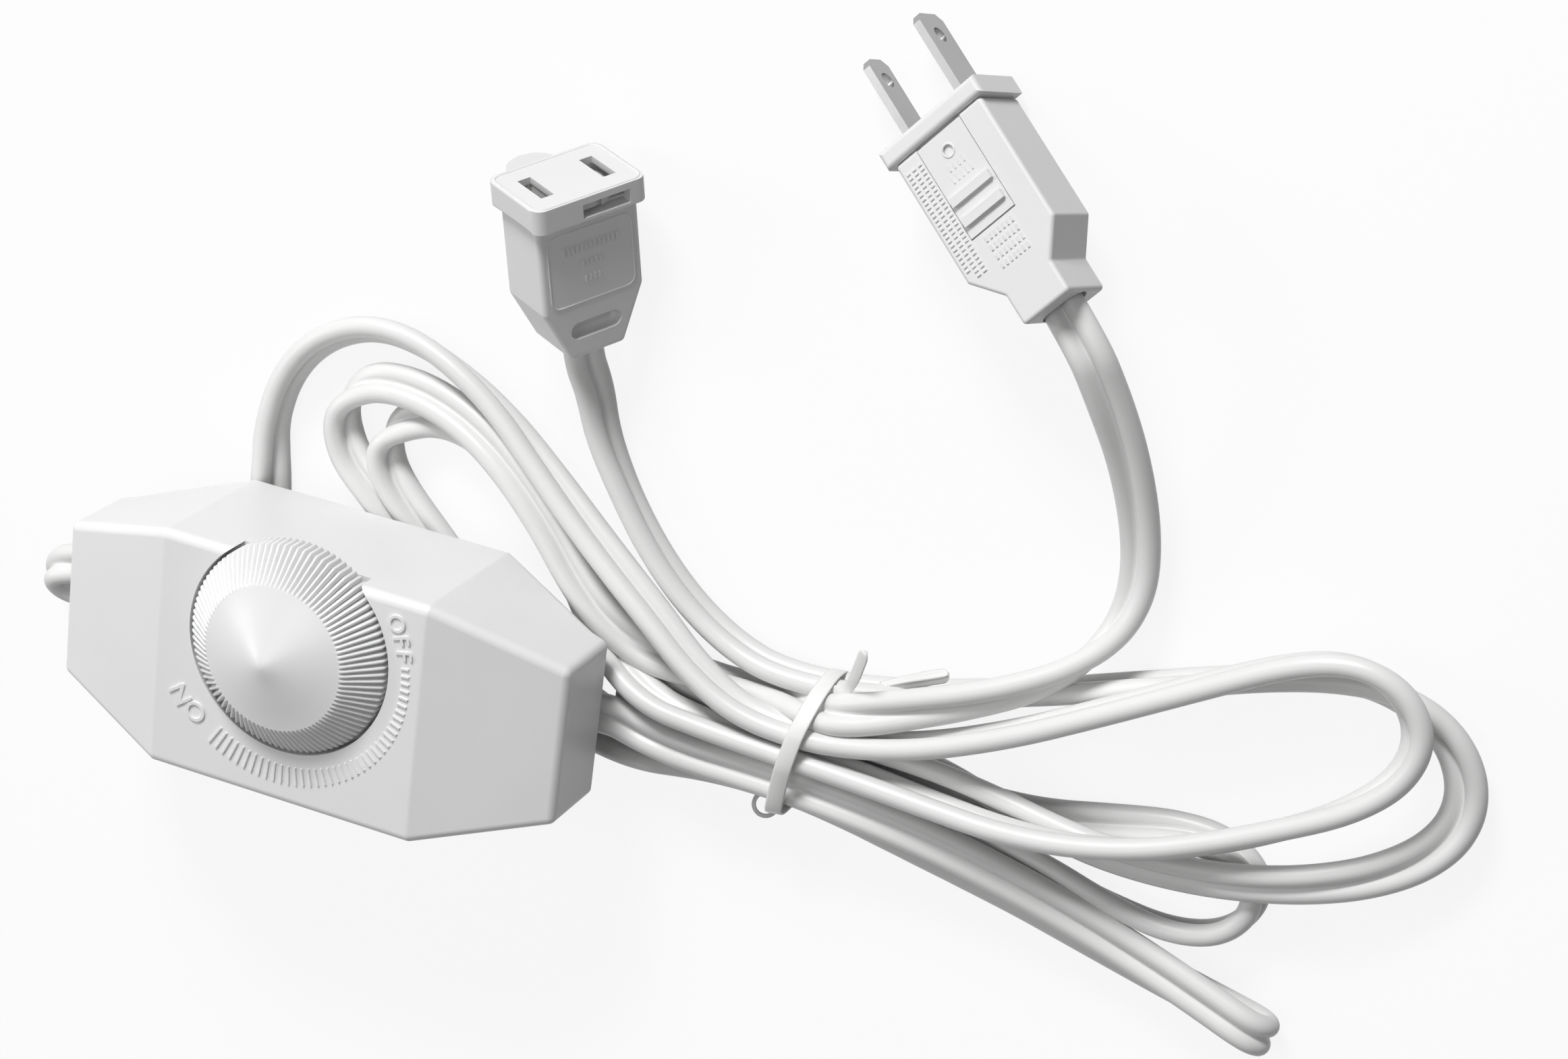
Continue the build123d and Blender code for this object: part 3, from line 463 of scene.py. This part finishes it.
# part.py's routes, moved by up to 13 mm to follow the photograph; the numbers are
# x, y, height above the floor, and lean
TILTED = (0.30, 0.83, -0.47)
FLAT = (0.2, 1, 0)
plug_route = [
    on_axis(PLUG_AT, PLUG_Z, 19.6, PLUG_X), on_axis(PLUG_AT, PLUG_Z, 45, PLUG_X),
] + above_floor([
    (138.9, 84.0, 15.6, PLUG_X), (143.2, 71.8, 10.6, 172), (146.0, 59.0, 6.2, 160),
    (147.0, 48.0, 4.4, 150), (145.0, 39.0, 5.2, 118), (139.4, 31.4, 7.8, 75),
    (131.4, 25.8, 10.6, 45), (122.0, 21.2, 12.2, 32), (112.0, 16.8, 12.6, 12),
    (103.5, 13.2, 12.8, -15), (97.0, 11.0, 12.4, -45), (91.0, 9.5, 8.6, -80),
    (85.0, 8.5, 5.8, -90), (78.5, 8.2, 4.7, -90), (71.0, 7.8, 4.4, -90),
    (63.5, 8.4, 5.4, (0, -0.3, 0.95)), (56.5, 10.6, 7.0, TILTED), (49.0, 14.6, 7.8, TILTED),
    (42.4, 20.8, 7.6, TILTED), (36.2, 28.6, 7.4, TILTED), (29.0, 36.2, 7.2, TILTED),
    (20.6, 42.4, 6.2, TILTED), (11.5, 46.4, 5.2, TILTED), (2.0, 48.2, 4.8, TILTED),
    (-6.6, 46.8, 4.6, TILTED), (-12.0, 40.0, 4.4, TILTED), (-9.8, 31.6, 4.2, TILTED),
    (-3.8, 25.6, 3.8, TILTED), (5.0, 17.0, 2.6, 15), (20.0, 3.0, 2.6, 12),
    (38.0, -8.5, 3.0, 30), (56.0, -12.6, 3.8, 70), (70.0, -10.6, 4.4, 90),
    (80.0, -9.6, 4.9, 90), (92.0, -9.6, 4.9, 80), (104.0, -11.2, 4.2, 60),
    (118.0, -14.4, 2.8, 25), (134.0, -18.2, 2.2, FLAT), (150.0, -22.2, 2.1, FLAT),
    (165.0, -25.8, 2.1, FLAT), (177.0, -28.4, 2.1, FLAT), (182.8, -29.6, 2.3, FLAT),
    (184.6, -29.4, 5.4, FLAT), (181.6, -27.8, 8.2, FLAT), (173.0, -25.0, 7.4, FLAT),
    (161.0, -21.2, 6.6, FLAT), (147.5, -16.8, 7.0, FLAT), (133.2, -12.5, 8.2, FLAT),
    (118.0, -8.8, 9.6, FLAT), (104.0, -6.6, 10.8, FLAT), (92.0, -5.5, 11.2, (0, 1, 0)),
    (80.0, -5.3, 11.2, (0, 1, 0)), (70.0, -5.6, 10.8, (0, 1, 0)), (60.5, -5.2, 9.4, (0, 1, 0)),
]) + [exit_point(1, 5.5), exit_point(1, -CORD_IN)]
socket_route = [
    on_axis(SOCKET_AT, SOCKET_Z, 17.4, SOCKET_X), on_axis(SOCKET_AT, SOCKET_Z, 36, SOCKET_X),
] + above_floor([
    (40.6, 58.0, 5.6, (0.45, 0.2, -0.87)), (42.8, 48.8, 4.4, 75), (47.8, 39.6, 4.0, 90),
    (53.6, 31.4, 4.0, 90), (60.0, 24.4, 4.0, 90), (67.0, 18.8, 4.0, 90), (74.4, 15.0, 4.4, 90),
    (82.0, 13.0, 4.9, 90), (93.0, 13.0, 4.9, 90), (106.0, 15.0, 4.2, 90), (120.0, 19.0, 4.0, 90),
    (134.0, 23.6, 4.0, 90), (147.5, 28.6, 4.0, 90), (161.0, 33.6, 4.0, 90),
    (174.0, 38.4, 4.0, 95), (186.0, 41.2, 4.0, 105), (197.0, 40.6, 4.0, 130),
    (205.2, 35.8, 4.0, 150), (209.6, 28.4, 4.0, 160), (209.6, 20.6, 4.6, 170),
    (205.2, 13.6, 5.6, 180), (197.0, 7.8, 7.2, 190), (186.6, 3.6, 8.6, 200),
    (176.0, 0.8, 9.2, 205), (165.0, -1.2, 8.8, 205), (153.0, -2.0, 8.2, 205),
    (142.0, -1.2, 7.8, 210), (131.0, 1.0, 7.0, 225), (119.0, 3.2, 6.0, 250),
    (107.0, 4.0, 5.2, 270), (94.0, 3.9, 4.9, 270), (80.0, 3.8, 4.9, 270),
    (72.0, 3.2, 3.9, 240), (65.6, 3.4, 3.4, 225), (60.0, 3.2, 3.3, 220),
    (55.8, 1.6, 3.3, 220), (54.6, -1.6, 3.3, 220), (57.4, -4.4, 3.3, 220), (63.6, -4.2, 3.4, 225),
    (71.0, -2.4, 4.2, 250), (80.0, -0.7, 4.9, 270), (94.0, -0.7, 4.9, 270),
    (108.0, -1.4, 4.2, 260), (122.0, -2.6, 3.0, 215), (136.0, -2.2, 2.6, 205),
    (150.0, 1.2, 2.6, 210), (162.0, 4.2, 3.2, 235), (171.0, 4.2, 3.6, 255),
    (177.6, -0.6, 3.8, 262), (177.4, -7.6, 4.0, 265), (172.0, -13.2, 4.0, 262),
    (163.0, -15.2, 4.0, 255), (152.0, -13.8, 3.6, 245), (138.0, -10.6, 3.2, 225),
    (122.0, -7.4, 3.4, 235), (108.0, -5.6, 4.2, 270), (94.0, -5.1, 4.9, 270),
    (80.0, -5.1, 4.9, 270), (68.0, -7.6, 4.2, 260), (54.0, -8.0, 3.2, 215),
    (38.0, -2.4, 2.6, 195), (20.0, 9.4, 2.6, 195), (6.4, 21.0, 2.8, (0.3, 0.9, -0.3)),
    (-0.6, 28.6, 3.4, TILTED), (-2.4, 34.6, 3.6, TILTED), (0.8, 40.2, 3.4, TILTED),
    (9.0, 43.6, 2.6, (0.4, 0.85, -0.3)), (19.0, 41.0, 2.2, FLAT), (28.2, 34.8, 2.2, FLAT),
    (37.2, 25.0, 2.6, FLAT), (44.6, 14.6, 4.6, (0, 0.8, -0.6)), (53.0, 6.8, 8.8, (0, 0.5, -0.8)),
    (62.0, 2.6, 11.0, (0, 0.2, -1)), (71.0, 1.8, 11.8, (0, 0, 1)), (80.0, 1.4, 12.1, 90),
    (94.0, 0.8, 12.1, 90), (106.0, 0.2, 12.0, 90), (119.0, -0.6, 12.4, 95),
    (132.0, -0.8, 13.6, 100), (145.0, 0.6, 14.4, 108), (158.0, 3.6, 14.0, 114),
    (170.0, 8.4, 12.8, 114), (181.6, 14.4, 11.8, 110), (192.4, 21.4, 11.2, 92),
    (199.4, 29.4, 11.0, 70), (201.0, 38.0, 11.0, 52), (196.4, 45.0, 11.0, 58),
    (188.0, 47.6, 11.2, 70), (178.0, 45.0, 11.6, 80), (163.0, 36.4, 12.0, 88),
    (147.0, 26.8, 12.2, 90), (131.0, 17.4, 12.2, 90), (114.0, 9.6, 12.1, 90),
    (100.0, 6.0, 12.1, 90), (88.0, 5.4, 12.3, 90), (78.0, 7.4, 12.6, 95),
    (68.6, 12.6, 12.0, 105), (60.0, 19.2, 10.6, 112), (50.4, 26.0, 9.0, 115),
    (41.0, 33.0, 7.4, 112), (31.6, 40.4, 5.8, 100), (22.4, 47.6, 4.6, 80),
    (12.6, 53.4, 4.2, 65), (2.6, 57.2, 4.0, 57), (-7.4, 57.4, 4.0, 62),
    (-17.0, 52.6, 4.0, 66), (-23.6, 44.4, 4.0, 74), (-26.6, 33.6, 4.0, 78),
    (-26.4, 24.4, 3.4, 62), (-26.2, 14.0, 2.6, 15), (-33.0, 0.0, 2.6, 12),
    (-44.0, -9.5, 2.8, 20), (-56.0, -14.5, 3.6, 55), (-70.0, -15.5, 4.2, 65),
    (-72.5, -8.5, 8.4, 60), (-62.0, -4.6, 9.0, (0, 1, 0.2)),
]) + [exit_point(-1, 7), exit_point(-1, -CORD_IN)]

plug_cord, plug_line = flat_cord("plug_cord", plug_route)
socket_cord, socket_line = flat_cord("socket_cord", socket_route)
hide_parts("plug_cord_lead", "plug_cord_hank", "plug_cord_tail")
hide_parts("socket_cord_lead", "socket_cord_hank", "socket_cord_tail")


# knob: shallow cone, bevel and rim with wedge ribs
RIB_SHAPE = (0.0, 0.42, 0.78, 0.96, 1.0, 0.96, 0.78, 0.42)
GROOVE_SLANT = 0.75


def make_knob():
    steps = len(RIB_SHAPE)
    n = DIAL_RIBS * steps
    # radius, height, depth of the grooves between the ribs
    profile = [
        (4.4, DIAL_SKIRT_Z + 2.6, 0), (17.2, DIAL_SKIRT_Z + 2.6, 0), (17.6, DIAL_SKIRT_Z, 0),
        (DIAL_R - 0.5, DIAL_SKIRT_Z, 0.5), (DIAL_R, DIAL_SKIRT_Z + 0.5, 0.9),
        (DIAL_R, DIAL_RIM_Z - 0.35, 1.15), (DIAL_R - 0.3, DIAL_RIM_Z + 0.1, 1.25),
        (DIAL_R - 2.0, DIAL_RIM_Z + 1.65, 1.1), (DIAL_CONE_R + 2.0, DIAL_CONE_Z - 1.75, 0.85),
        (DIAL_CONE_R + 0.3, DIAL_CONE_Z - 0.25, 0.6), (DIAL_CONE_R - 0.1, DIAL_CONE_Z + 0.02, 0.4),
        (DIAL_CONE_R - 0.45, DIAL_CONE_Z + 0.08, 0), (DIAL_CONE_R - 0.9, DIAL_CONE_Z + 0.18, 0),
        (10.0, DIAL_CONE_Z + 1.35, 0), (6.0, DIAL_CONE_Z + 2.62, 0), (2.4, DIAL_CONE_Z + 3.8, 0),
        (0.9, DIAL_TOP_Z - 0.14, 0),
    ]
    bm = bmesh.new()
    centre = Vector((0, DIAL_Y, 0)) + SHIFT
    rings = []
    for r, z, groove in profile:
        ring = []
        for i in range(n):
            a = 2 * math.pi * i / n
            k = (1 - RIB_SHAPE[i % steps]) * groove
            across = r - k * GROOVE_SLANT
            low = z - k * GROOVE_SLANT if z > DIAL_RIM_Z - 0.5 else z
            at = Vector((across * math.cos(a), across * math.sin(a), low))
            ring.append(bm.verts.new((centre + at) * MM))
        rings.append(ring)
    for a, b in zip(rings, rings[1:]):
        for j in range(n):
            f = bm.faces.new((a[j], a[(j + 1) % n], b[(j + 1) % n], b[j]))
            f.smooth = True
    top = bm.verts.new((centre + Vector((0, 0, DIAL_TOP_Z))) * MM)
    for j in range(n):
        bm.faces.new((rings[-1][j], rings[-1][(j + 1) % n], top)).smooth = True
    bm.faces.new(rings[0][::-1])
    knob = new_piece("ribbed_knob", bm, KNOB, "dial", smooth_angle=38)
    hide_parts("dial_knob")


make_knob()


# raised marks round the knob, with their feet sunk into the housing
SUNK = 0.05
BAR_TOP = 0.6           # a bar's width at its top, as a share of its foot
BAR_END_SLOPE = 0.5
LETTER_EDGE = 0.07
LETTER_HEIGHT = 0.3


def add_bar(bm, at, along, across, up, length, width, height):
    # a low bar with sloping sides
    corners = []
    for z, k in ((-SUNK, 1.0), (height, BAR_TOP)):
        for x, y in ((-1, -1), (1, -1), (1, 1), (-1, 1)):
            dx = x * (length / 2 - (0 if k == 1.0 else height * BAR_END_SLOPE))
            dy = y * width / 2 * k
            corners.append(bm.verts.new((at + along * dx + across * dy + up * z) * MM))
    a, b = corners[:4], corners[4:]
    bm.faces.new(b)
    bm.faces.new(a[::-1])
    for i in range(4):
        j = (i + 1) % 4
        bm.faces.new((a[i], a[j], b[j], b[i]))


def add_letter(bm, body, at, right, top, up, size):
    # a letter of the built-in font, joined to bm
    curve = bpy.data.curves.new("letter", "FONT")
    curve.body = body
    curve.size = size * MM
    curve.extrude = LETTER_HEIGHT * MM
    curve.bevel_depth = LETTER_EDGE * MM
    curve.align_x = "CENTER"
    curve.align_y = "CENTER"
    obj = bpy.data.objects.new("letter", curve)
    bpy.context.collection.objects.link(obj)
    mesh = bpy.data.meshes.new_from_object(obj)
    place = Matrix((right, top, up)).transposed().to_4x4()
    mesh.transform(Matrix.Translation(at * MM) @ place)
    bm.from_mesh(mesh)
    bpy.data.objects.remove(obj)
    bpy.data.curves.remove(curve)
    bpy.data.meshes.remove(mesh)


# angles in degrees, radii and sizes in millimetres
TICKS = 39
TICK_START = 7.0
TICK_SWEEP = 129.5
TICK_IN_R = 23.6
TICK_OUT_R = 25.4
TICK_GROWTH = 2.8
TICK_W = 0.5
TICK_H = 0.34
# letter, angle, radius, size
LETTERS = (
    ("O", 27.5, 24.5, 4.6), ("F", 20.0, 24.4, 4.6), ("F", 13.2, 24.4, 4.6),
    ("O", -135.2, 25.8, 5.4), ("N", -144.2, 26.8, 5.4),
)


def make_marks():
    bm = bmesh.new()
    centre = SHIFT + Vector((0, DIAL_Y, DEPTH))
    up = Vector((0, 0, 1))
    for i in range(TICKS):
        a = math.radians(TICK_START - TICK_SWEEP * i / (TICKS - 1))
        out = Vector((math.cos(a), math.sin(a), 0))
        far = TICK_OUT_R + TICK_GROWTH * i / (TICKS - 1)
        middle = centre + out * (TICK_IN_R + far) / 2
        add_bar(bm, middle, out, up.cross(out), up, far - TICK_IN_R, TICK_W, TICK_H)
    for letter, angle, r, size in LETTERS:
        a = math.radians(angle)
        out = Vector((math.cos(a), math.sin(a), 0))
        add_letter(bm, letter, centre + out * r, out.cross(up), out, up, size)
    new_piece("dial_marks", bm, SHELL)


make_marks()


# twist tie: a band with a wire ridge round the bundle, its curl and two ends
TIE_W = 3.3
CURL_W = 2.0
END_W = 2.7
BAND_X = 91.2
BAND_Y = 1.5
BAND_SLANT = 0.2
BAND_LIFT = 0.1
RIBBON_EDGE = 0.12
# the band round the bundle, as y and height above the floor
TIE_HULL = [
    (15.6, 2.8), (15.9, 6.4), (15.0, 9.8), (12.8, 13.2), (8.2, 16.7), (5.2, 17.2),
    (0.6, 17.2), (-2.4, 16.3), (-8.6, 14.2), (-11.4, 12.7), (-12.6, 10.0), (-12.6, 5.0),
    (-12.0, 1.8), (-9.6, 0.15), (1.0, 0.1), (12.0, 0.15), (14.8, 0.9),
]
# the curl is a small ring that faces the camera
CURL_AT = Vector((84.2, -14.3, FLOOR + 4.8))
CURL_R = 2.1
CURL_POINTS = 8
CURL_RIGHT = Vector((0.91, 0.12, -0.39))
CURL_RISE = Vector((-0.25, 0.92, -0.30))
# the loose ends, as points (x, y, height above the floor) and a wide direction
TIE_ENDS = (
    ([(94.6, 13.6, 8.6), (98.4, 15.4, 10.0), (100.8, 19.8, 13.6), (102.3, 24.1, 16.2),
      (103.5, 27.6, 18.0)], Vector((0.75, -0.35, 0.4))),
    ([(103.5, 16.0, 5.6), (107.5, 18.4, 6.4), (111.0, 20.4, 7.4), (114.0, 22.0, 8.0),
      (116.6, 23.4, 8.4)], Vector((-0.33, 0.75, -0.2))),
)


def ribbon_section(width, thick, ridge):
    # a flat ribbon with a round ridge along its middle
    w = width / 2
    half = [
        (w, 0), (w * 0.86, thick * 0.9), (w * 0.35, thick), (ridge, thick + RIBBON_EDGE),
        (ridge * 0.6, thick + ridge * 0.75),
    ]
    pts = half + [(0, thick + ridge)] + [(-x, y) for x, y in half[::-1]]
    pts += [(-w * 0.8, -RIBBON_EDGE), (w * 0.8, -RIBBON_EDGE)]
    return [(x * MM, y * MM) for x, y in pts]


def end_sizes(n):
    # a loose end starts narrow, widens, and is rounded at its tip
    sizes = [0.72 + 0.28 * min(1, i / n * 1.6) for i in range(n + 1)]
    for back, size in ((0, 0.35), (1, 0.75), (2, 0.93)):
        sizes[n - back] = size
    return sizes


def make_tie():
    bm = bmesh.new()
    band = [
        (BAND_X + BAND_SLANT * (y - BAND_Y), y, FLOOR + h + BAND_LIFT)
        for y, h in TIE_HULL[::-1]
    ]
    line = smooth_line(band, 8, closed=True)
    section = ribbon_section(TIE_W, 0.35, 0.5)
    sweep(bm, line, [Vector((1, 0.1, 0))] * len(line), section, closed=True)
    curl = []
    for i in range(CURL_POINTS):
        a = 2 * math.pi * i / CURL_POINTS
        curl.append(CURL_AT + (CURL_RIGHT * math.cos(a) + CURL_RISE * math.sin(a)) * CURL_R)
    line = smooth_line(curl, 6, closed=True)
    section = ribbon_section(CURL_W, 0.35, 0.35)
    sweep(bm, line, [CURL_RIGHT.cross(CURL_RISE)] * len(line), section, closed=True)
    section = ribbon_section(END_W, 0.3, 0.4)
    for end, wide in TIE_ENDS:
        line = smooth_line([(x, y, FLOOR + h) for x, y, h in end])
        sweep(bm, line, [wide] * len(line), section, sizes=end_sizes(len(line) - 1))
    tie = new_piece("tie_band", bm, TIE)
    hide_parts("twist_tie")


make_tie()


# the socket's CAD shells with their edges rounded, but not the seam and the openings; the
# numbers are millimetres in the socket's own frame, with z from the face towards the cord
SOCKET_Y = SOCKET_Z.cross(SOCKET_X)
SHELL_ROUND = 0.45
POCKET_DEEPER = 1.45
POCKET_ROUND = 1.2
POCKET_FLOOR_Y = 5.7
POCKET_RIM_Y = 4.5
ROUND_STEPS = 4
SEAM_HALF = 0.08
SHORT_EDGE = 2.4
CORNER_ANGLE = math.radians(28)
RIM_ANGLE = math.radians(40)


def in_pocket(p):
    return abs(p.x) < 5.6 and p.y > 4.0 and 24.6 < p.z < 29.4


def kept_sharp(p):
    seam = abs(p.y) < SEAM_HALF
    slots = abs(p.x) < 8.2 and abs(p.y) < 4.4 and p.z < 1.6
    window = p.y > 4.6 and 0.9 < p.z < 4.3
    return seam or slots or window or in_pocket(p)


def round_edges(bm, edges, width, clamp):
    bmesh.ops.bevel(
        bm, geom=edges, offset=width, offset_type="OFFSET", segments=ROUND_STEPS, profile=0.5,
        affect="EDGES", clamp_overlap=clamp,
    )


def deepen_pocket(bm):
    # the grip pocket's floor goes deeper and its rim round
    for v in bm.verts:
        if in_pocket(v.co) and v.co.y < POCKET_FLOOR_Y:
            v.co.y -= POCKET_DEEPER
    rim = [
        e for e in bm.edges if e.calc_face_angle(0) > RIM_ANGLE
        and all(in_pocket(v.co) and v.co.y < POCKET_RIM_Y for v in e.verts)
    ]
    round_edges(bm, rim, POCKET_ROUND, True)


def even_normals(obj):
    # large faces stay flat beside the rounded edges
    obj.modifiers.new("normals", "WEIGHTED_NORMAL").keep_sharp = True
    view = bpy.context.evaluated_depsgraph_get()
    mesh = bpy.data.meshes.new_from_object(obj.evaluated_get(view))
    obj.modifiers.clear()
    obj.data = mesh


def soften(name, pocket):
    source = bpy.data.objects[name]
    place = Matrix((SOCKET_X, SOCKET_Y, SOCKET_Z)).transposed().to_4x4()
    place.translation = SOCKET_AT * MM
    bm = bmesh.new()
    bm.from_mesh(source.data)
    bm.transform(place.inverted() @ source.matrix_world)
    bm.transform(Matrix.Scale(1 / MM, 4))
    bmesh.ops.remove_doubles(bm, verts=bm.verts, dist=0.001)
    bmesh.ops.dissolve_limit(bm, angle_limit=math.radians(1), verts=bm.verts, edges=bm.edges)
    corners = [
        e for e in bm.edges if len(e.link_faces) == 2 and e.is_convex
        and e.calc_face_angle(0) > CORNER_ANGLE and e.calc_length() > SHORT_EDGE
        and not all(kept_sharp(v.co) for v in e.verts)
    ]
    round_edges(bm, corners, SHELL_ROUND, False)
    if pocket:
        deepen_pocket(bm)
    for f in bm.faces:
        f.smooth = True
    bm.transform(place @ Matrix.Scale(MM, 4))
    piece = new_piece(name + "_soft", bm, SURFACES[name], "root", smooth_angle=30)
    even_normals(piece)
    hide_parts(name)


soften("socket_shell_front", True)
soften("socket_shell_back", False)


# raised trim on the plug and socket: plain bars and outlines, placed in the frame of each
PLUG_Y = PLUG_Z.cross(PLUG_X)
PLUG_FACE_Y = 6.5
SOCKET_FACE_Y = 6.4
TRIM_SUNK = 0.1
BAR_W = 0.44
BLOCK_BAR_W = 0.46
# the hatch: three columns beside the fuse door, of which the outer one is shorter
HATCH_X = (-8.55, -7.2, -5.85)
HATCH_ROWS = 26
HATCH_Z = 6.2
HATCH_PITCH = 0.86
OUTER_X = -8
OUTER_END_Z = 26.6
# the block past the door
BLOCK_ROWS = 4
BLOCK_COLUMNS = 7
# the door's bars and dimple, low enough to slide under the flange
DOOR_TRIM_H = 0.13
DOOR_ROWS = ((0, 4), (1, 5))
DIMPLE_R = 1.15
DIMPLE_Z = 7.4
# the socket panel's rows: row, count, height of the bars
PANEL_ROWS = ((0, 13, 1.9), (1, 5, 1.3), (2, 4, 1.3))


def rounded_loop(middle, half, r, n=5):
    # a rectangle with round corners, about a middle and with half its sides
    out = []
    for sx, sy, start in ((1, 1, 0), (-1, 1, 90), (-1, -1, 180), (1, -1, 270)):
        for i in range(n + 1):
            a = math.radians(start + 90 * i / n)
            out.append((
                middle[0] + sx * (half[0] - r) + r * math.cos(a),
                middle[1] + sy * (half[1] - r) + r * math.sin(a),
            ))
    return out


def add_outline(bm, loop, origin, right, top, width, height):
    # a low ridge along a closed loop that lies on a face
    up = right.cross(top).normalized()
    line = [(origin + right * u + top * v) * MM for u, v in loop]
    n = len(line)
    wide = [up.cross((line[(i + 1) % n] - line[i - 1]).normalized()) for i in range(n)]
    w = width / 2
    top_w = w * BAR_TOP
    ring = [(w, -TRIM_SUNK), (top_w, height), (-top_w, height), (-w, -TRIM_SUNK)]
    sweep(bm, line, wide, [(x * MM, y * MM) for x, y in ring], closed=True)


def make_plug_trim():
    bm = bmesh.new()
    face = PLUG_AT + PLUG_Y * PLUG_FACE_Y
    for x in HATCH_X:
        for i in range(HATCH_ROWS):
            z = HATCH_Z + i * HATCH_PITCH
            if x < OUTER_X and z > OUTER_END_Z:
                continue
            at = face + PLUG_X * x + PLUG_Z * z
            add_bar(bm, at, PLUG_X, PLUG_Z, PLUG_Y, 0.92, BAR_W, 0.28)
    for row in range(BLOCK_ROWS):
        for i in range(BLOCK_COLUMNS):
            at = face + PLUG_X * (-2.6 + i * 0.98) + PLUG_Z * (23.6 + row * 1.75)
            add_bar(bm, at, PLUG_Z, PLUG_X, PLUG_Y, 1.3, BLOCK_BAR_W, 0.26)
    new_piece("plug_bars", bm, PLUG_WHITE)
    bm = bmesh.new()
    for row, count in DOOR_ROWS:
        for i in range(count):
            x = (i - (count - 1) / 2) * 1.05
            at = face + PLUG_X * x + PLUG_Z * (10.0 + row * 2.0)
            add_bar(bm, at, PLUG_Z, PLUG_X, PLUG_Y, 1.4, BLOCK_BAR_W, DOOR_TRIM_H)
    angles = [t * math.pi / 12 for t in range(24)]
    dimple = [(DIMPLE_R * math.cos(a), DIMPLE_R * math.sin(a)) for a in angles]
    add_outline(bm, dimple, face + PLUG_Z * DIMPLE_Z, PLUG_Z, PLUG_X, 0.45, DOOR_TRIM_H)
    new_piece("door_bars", bm, PLUG_WHITE, "door")


make_plug_trim()


def make_socket_trim():
    bm = bmesh.new()
    side = SOCKET_AT + SOCKET_Y * SOCKET_FACE_Y
    panel = rounded_loop((0, 14.2), (8.7, 7.2), 1.8)
    add_outline(bm, panel, side, SOCKET_Z.cross(SOCKET_Y), SOCKET_Z, 0.42, 0.16)
    for row, count, tall in PANEL_ROWS:
        for i in range(count):
            x = (i - (count - 1) / 2) * 0.92
            at = side + SOCKET_X * x + SOCKET_Z * (10.6 + row * 3.2)
            add_bar(bm, at, SOCKET_Z, SOCKET_X, SOCKET_Y, tall, BAR_W, 0.32)
    rim = rounded_loop((0, 0), (10.9, 8.0), 2.0)
    add_outline(bm, rim, SOCKET_AT, SOCKET_Y.cross(-SOCKET_Z), SOCKET_Y, 0.5, 0.14)
    new_piece("socket_trim", bm, PLUG_WHITE)


make_socket_trim()


for name, material in SURFACES.items():
    obj = bpy.data.objects.get(name)
    if obj is not None and obj.type == "MESH":
        for s in obj.material_slots:
            s.material = material
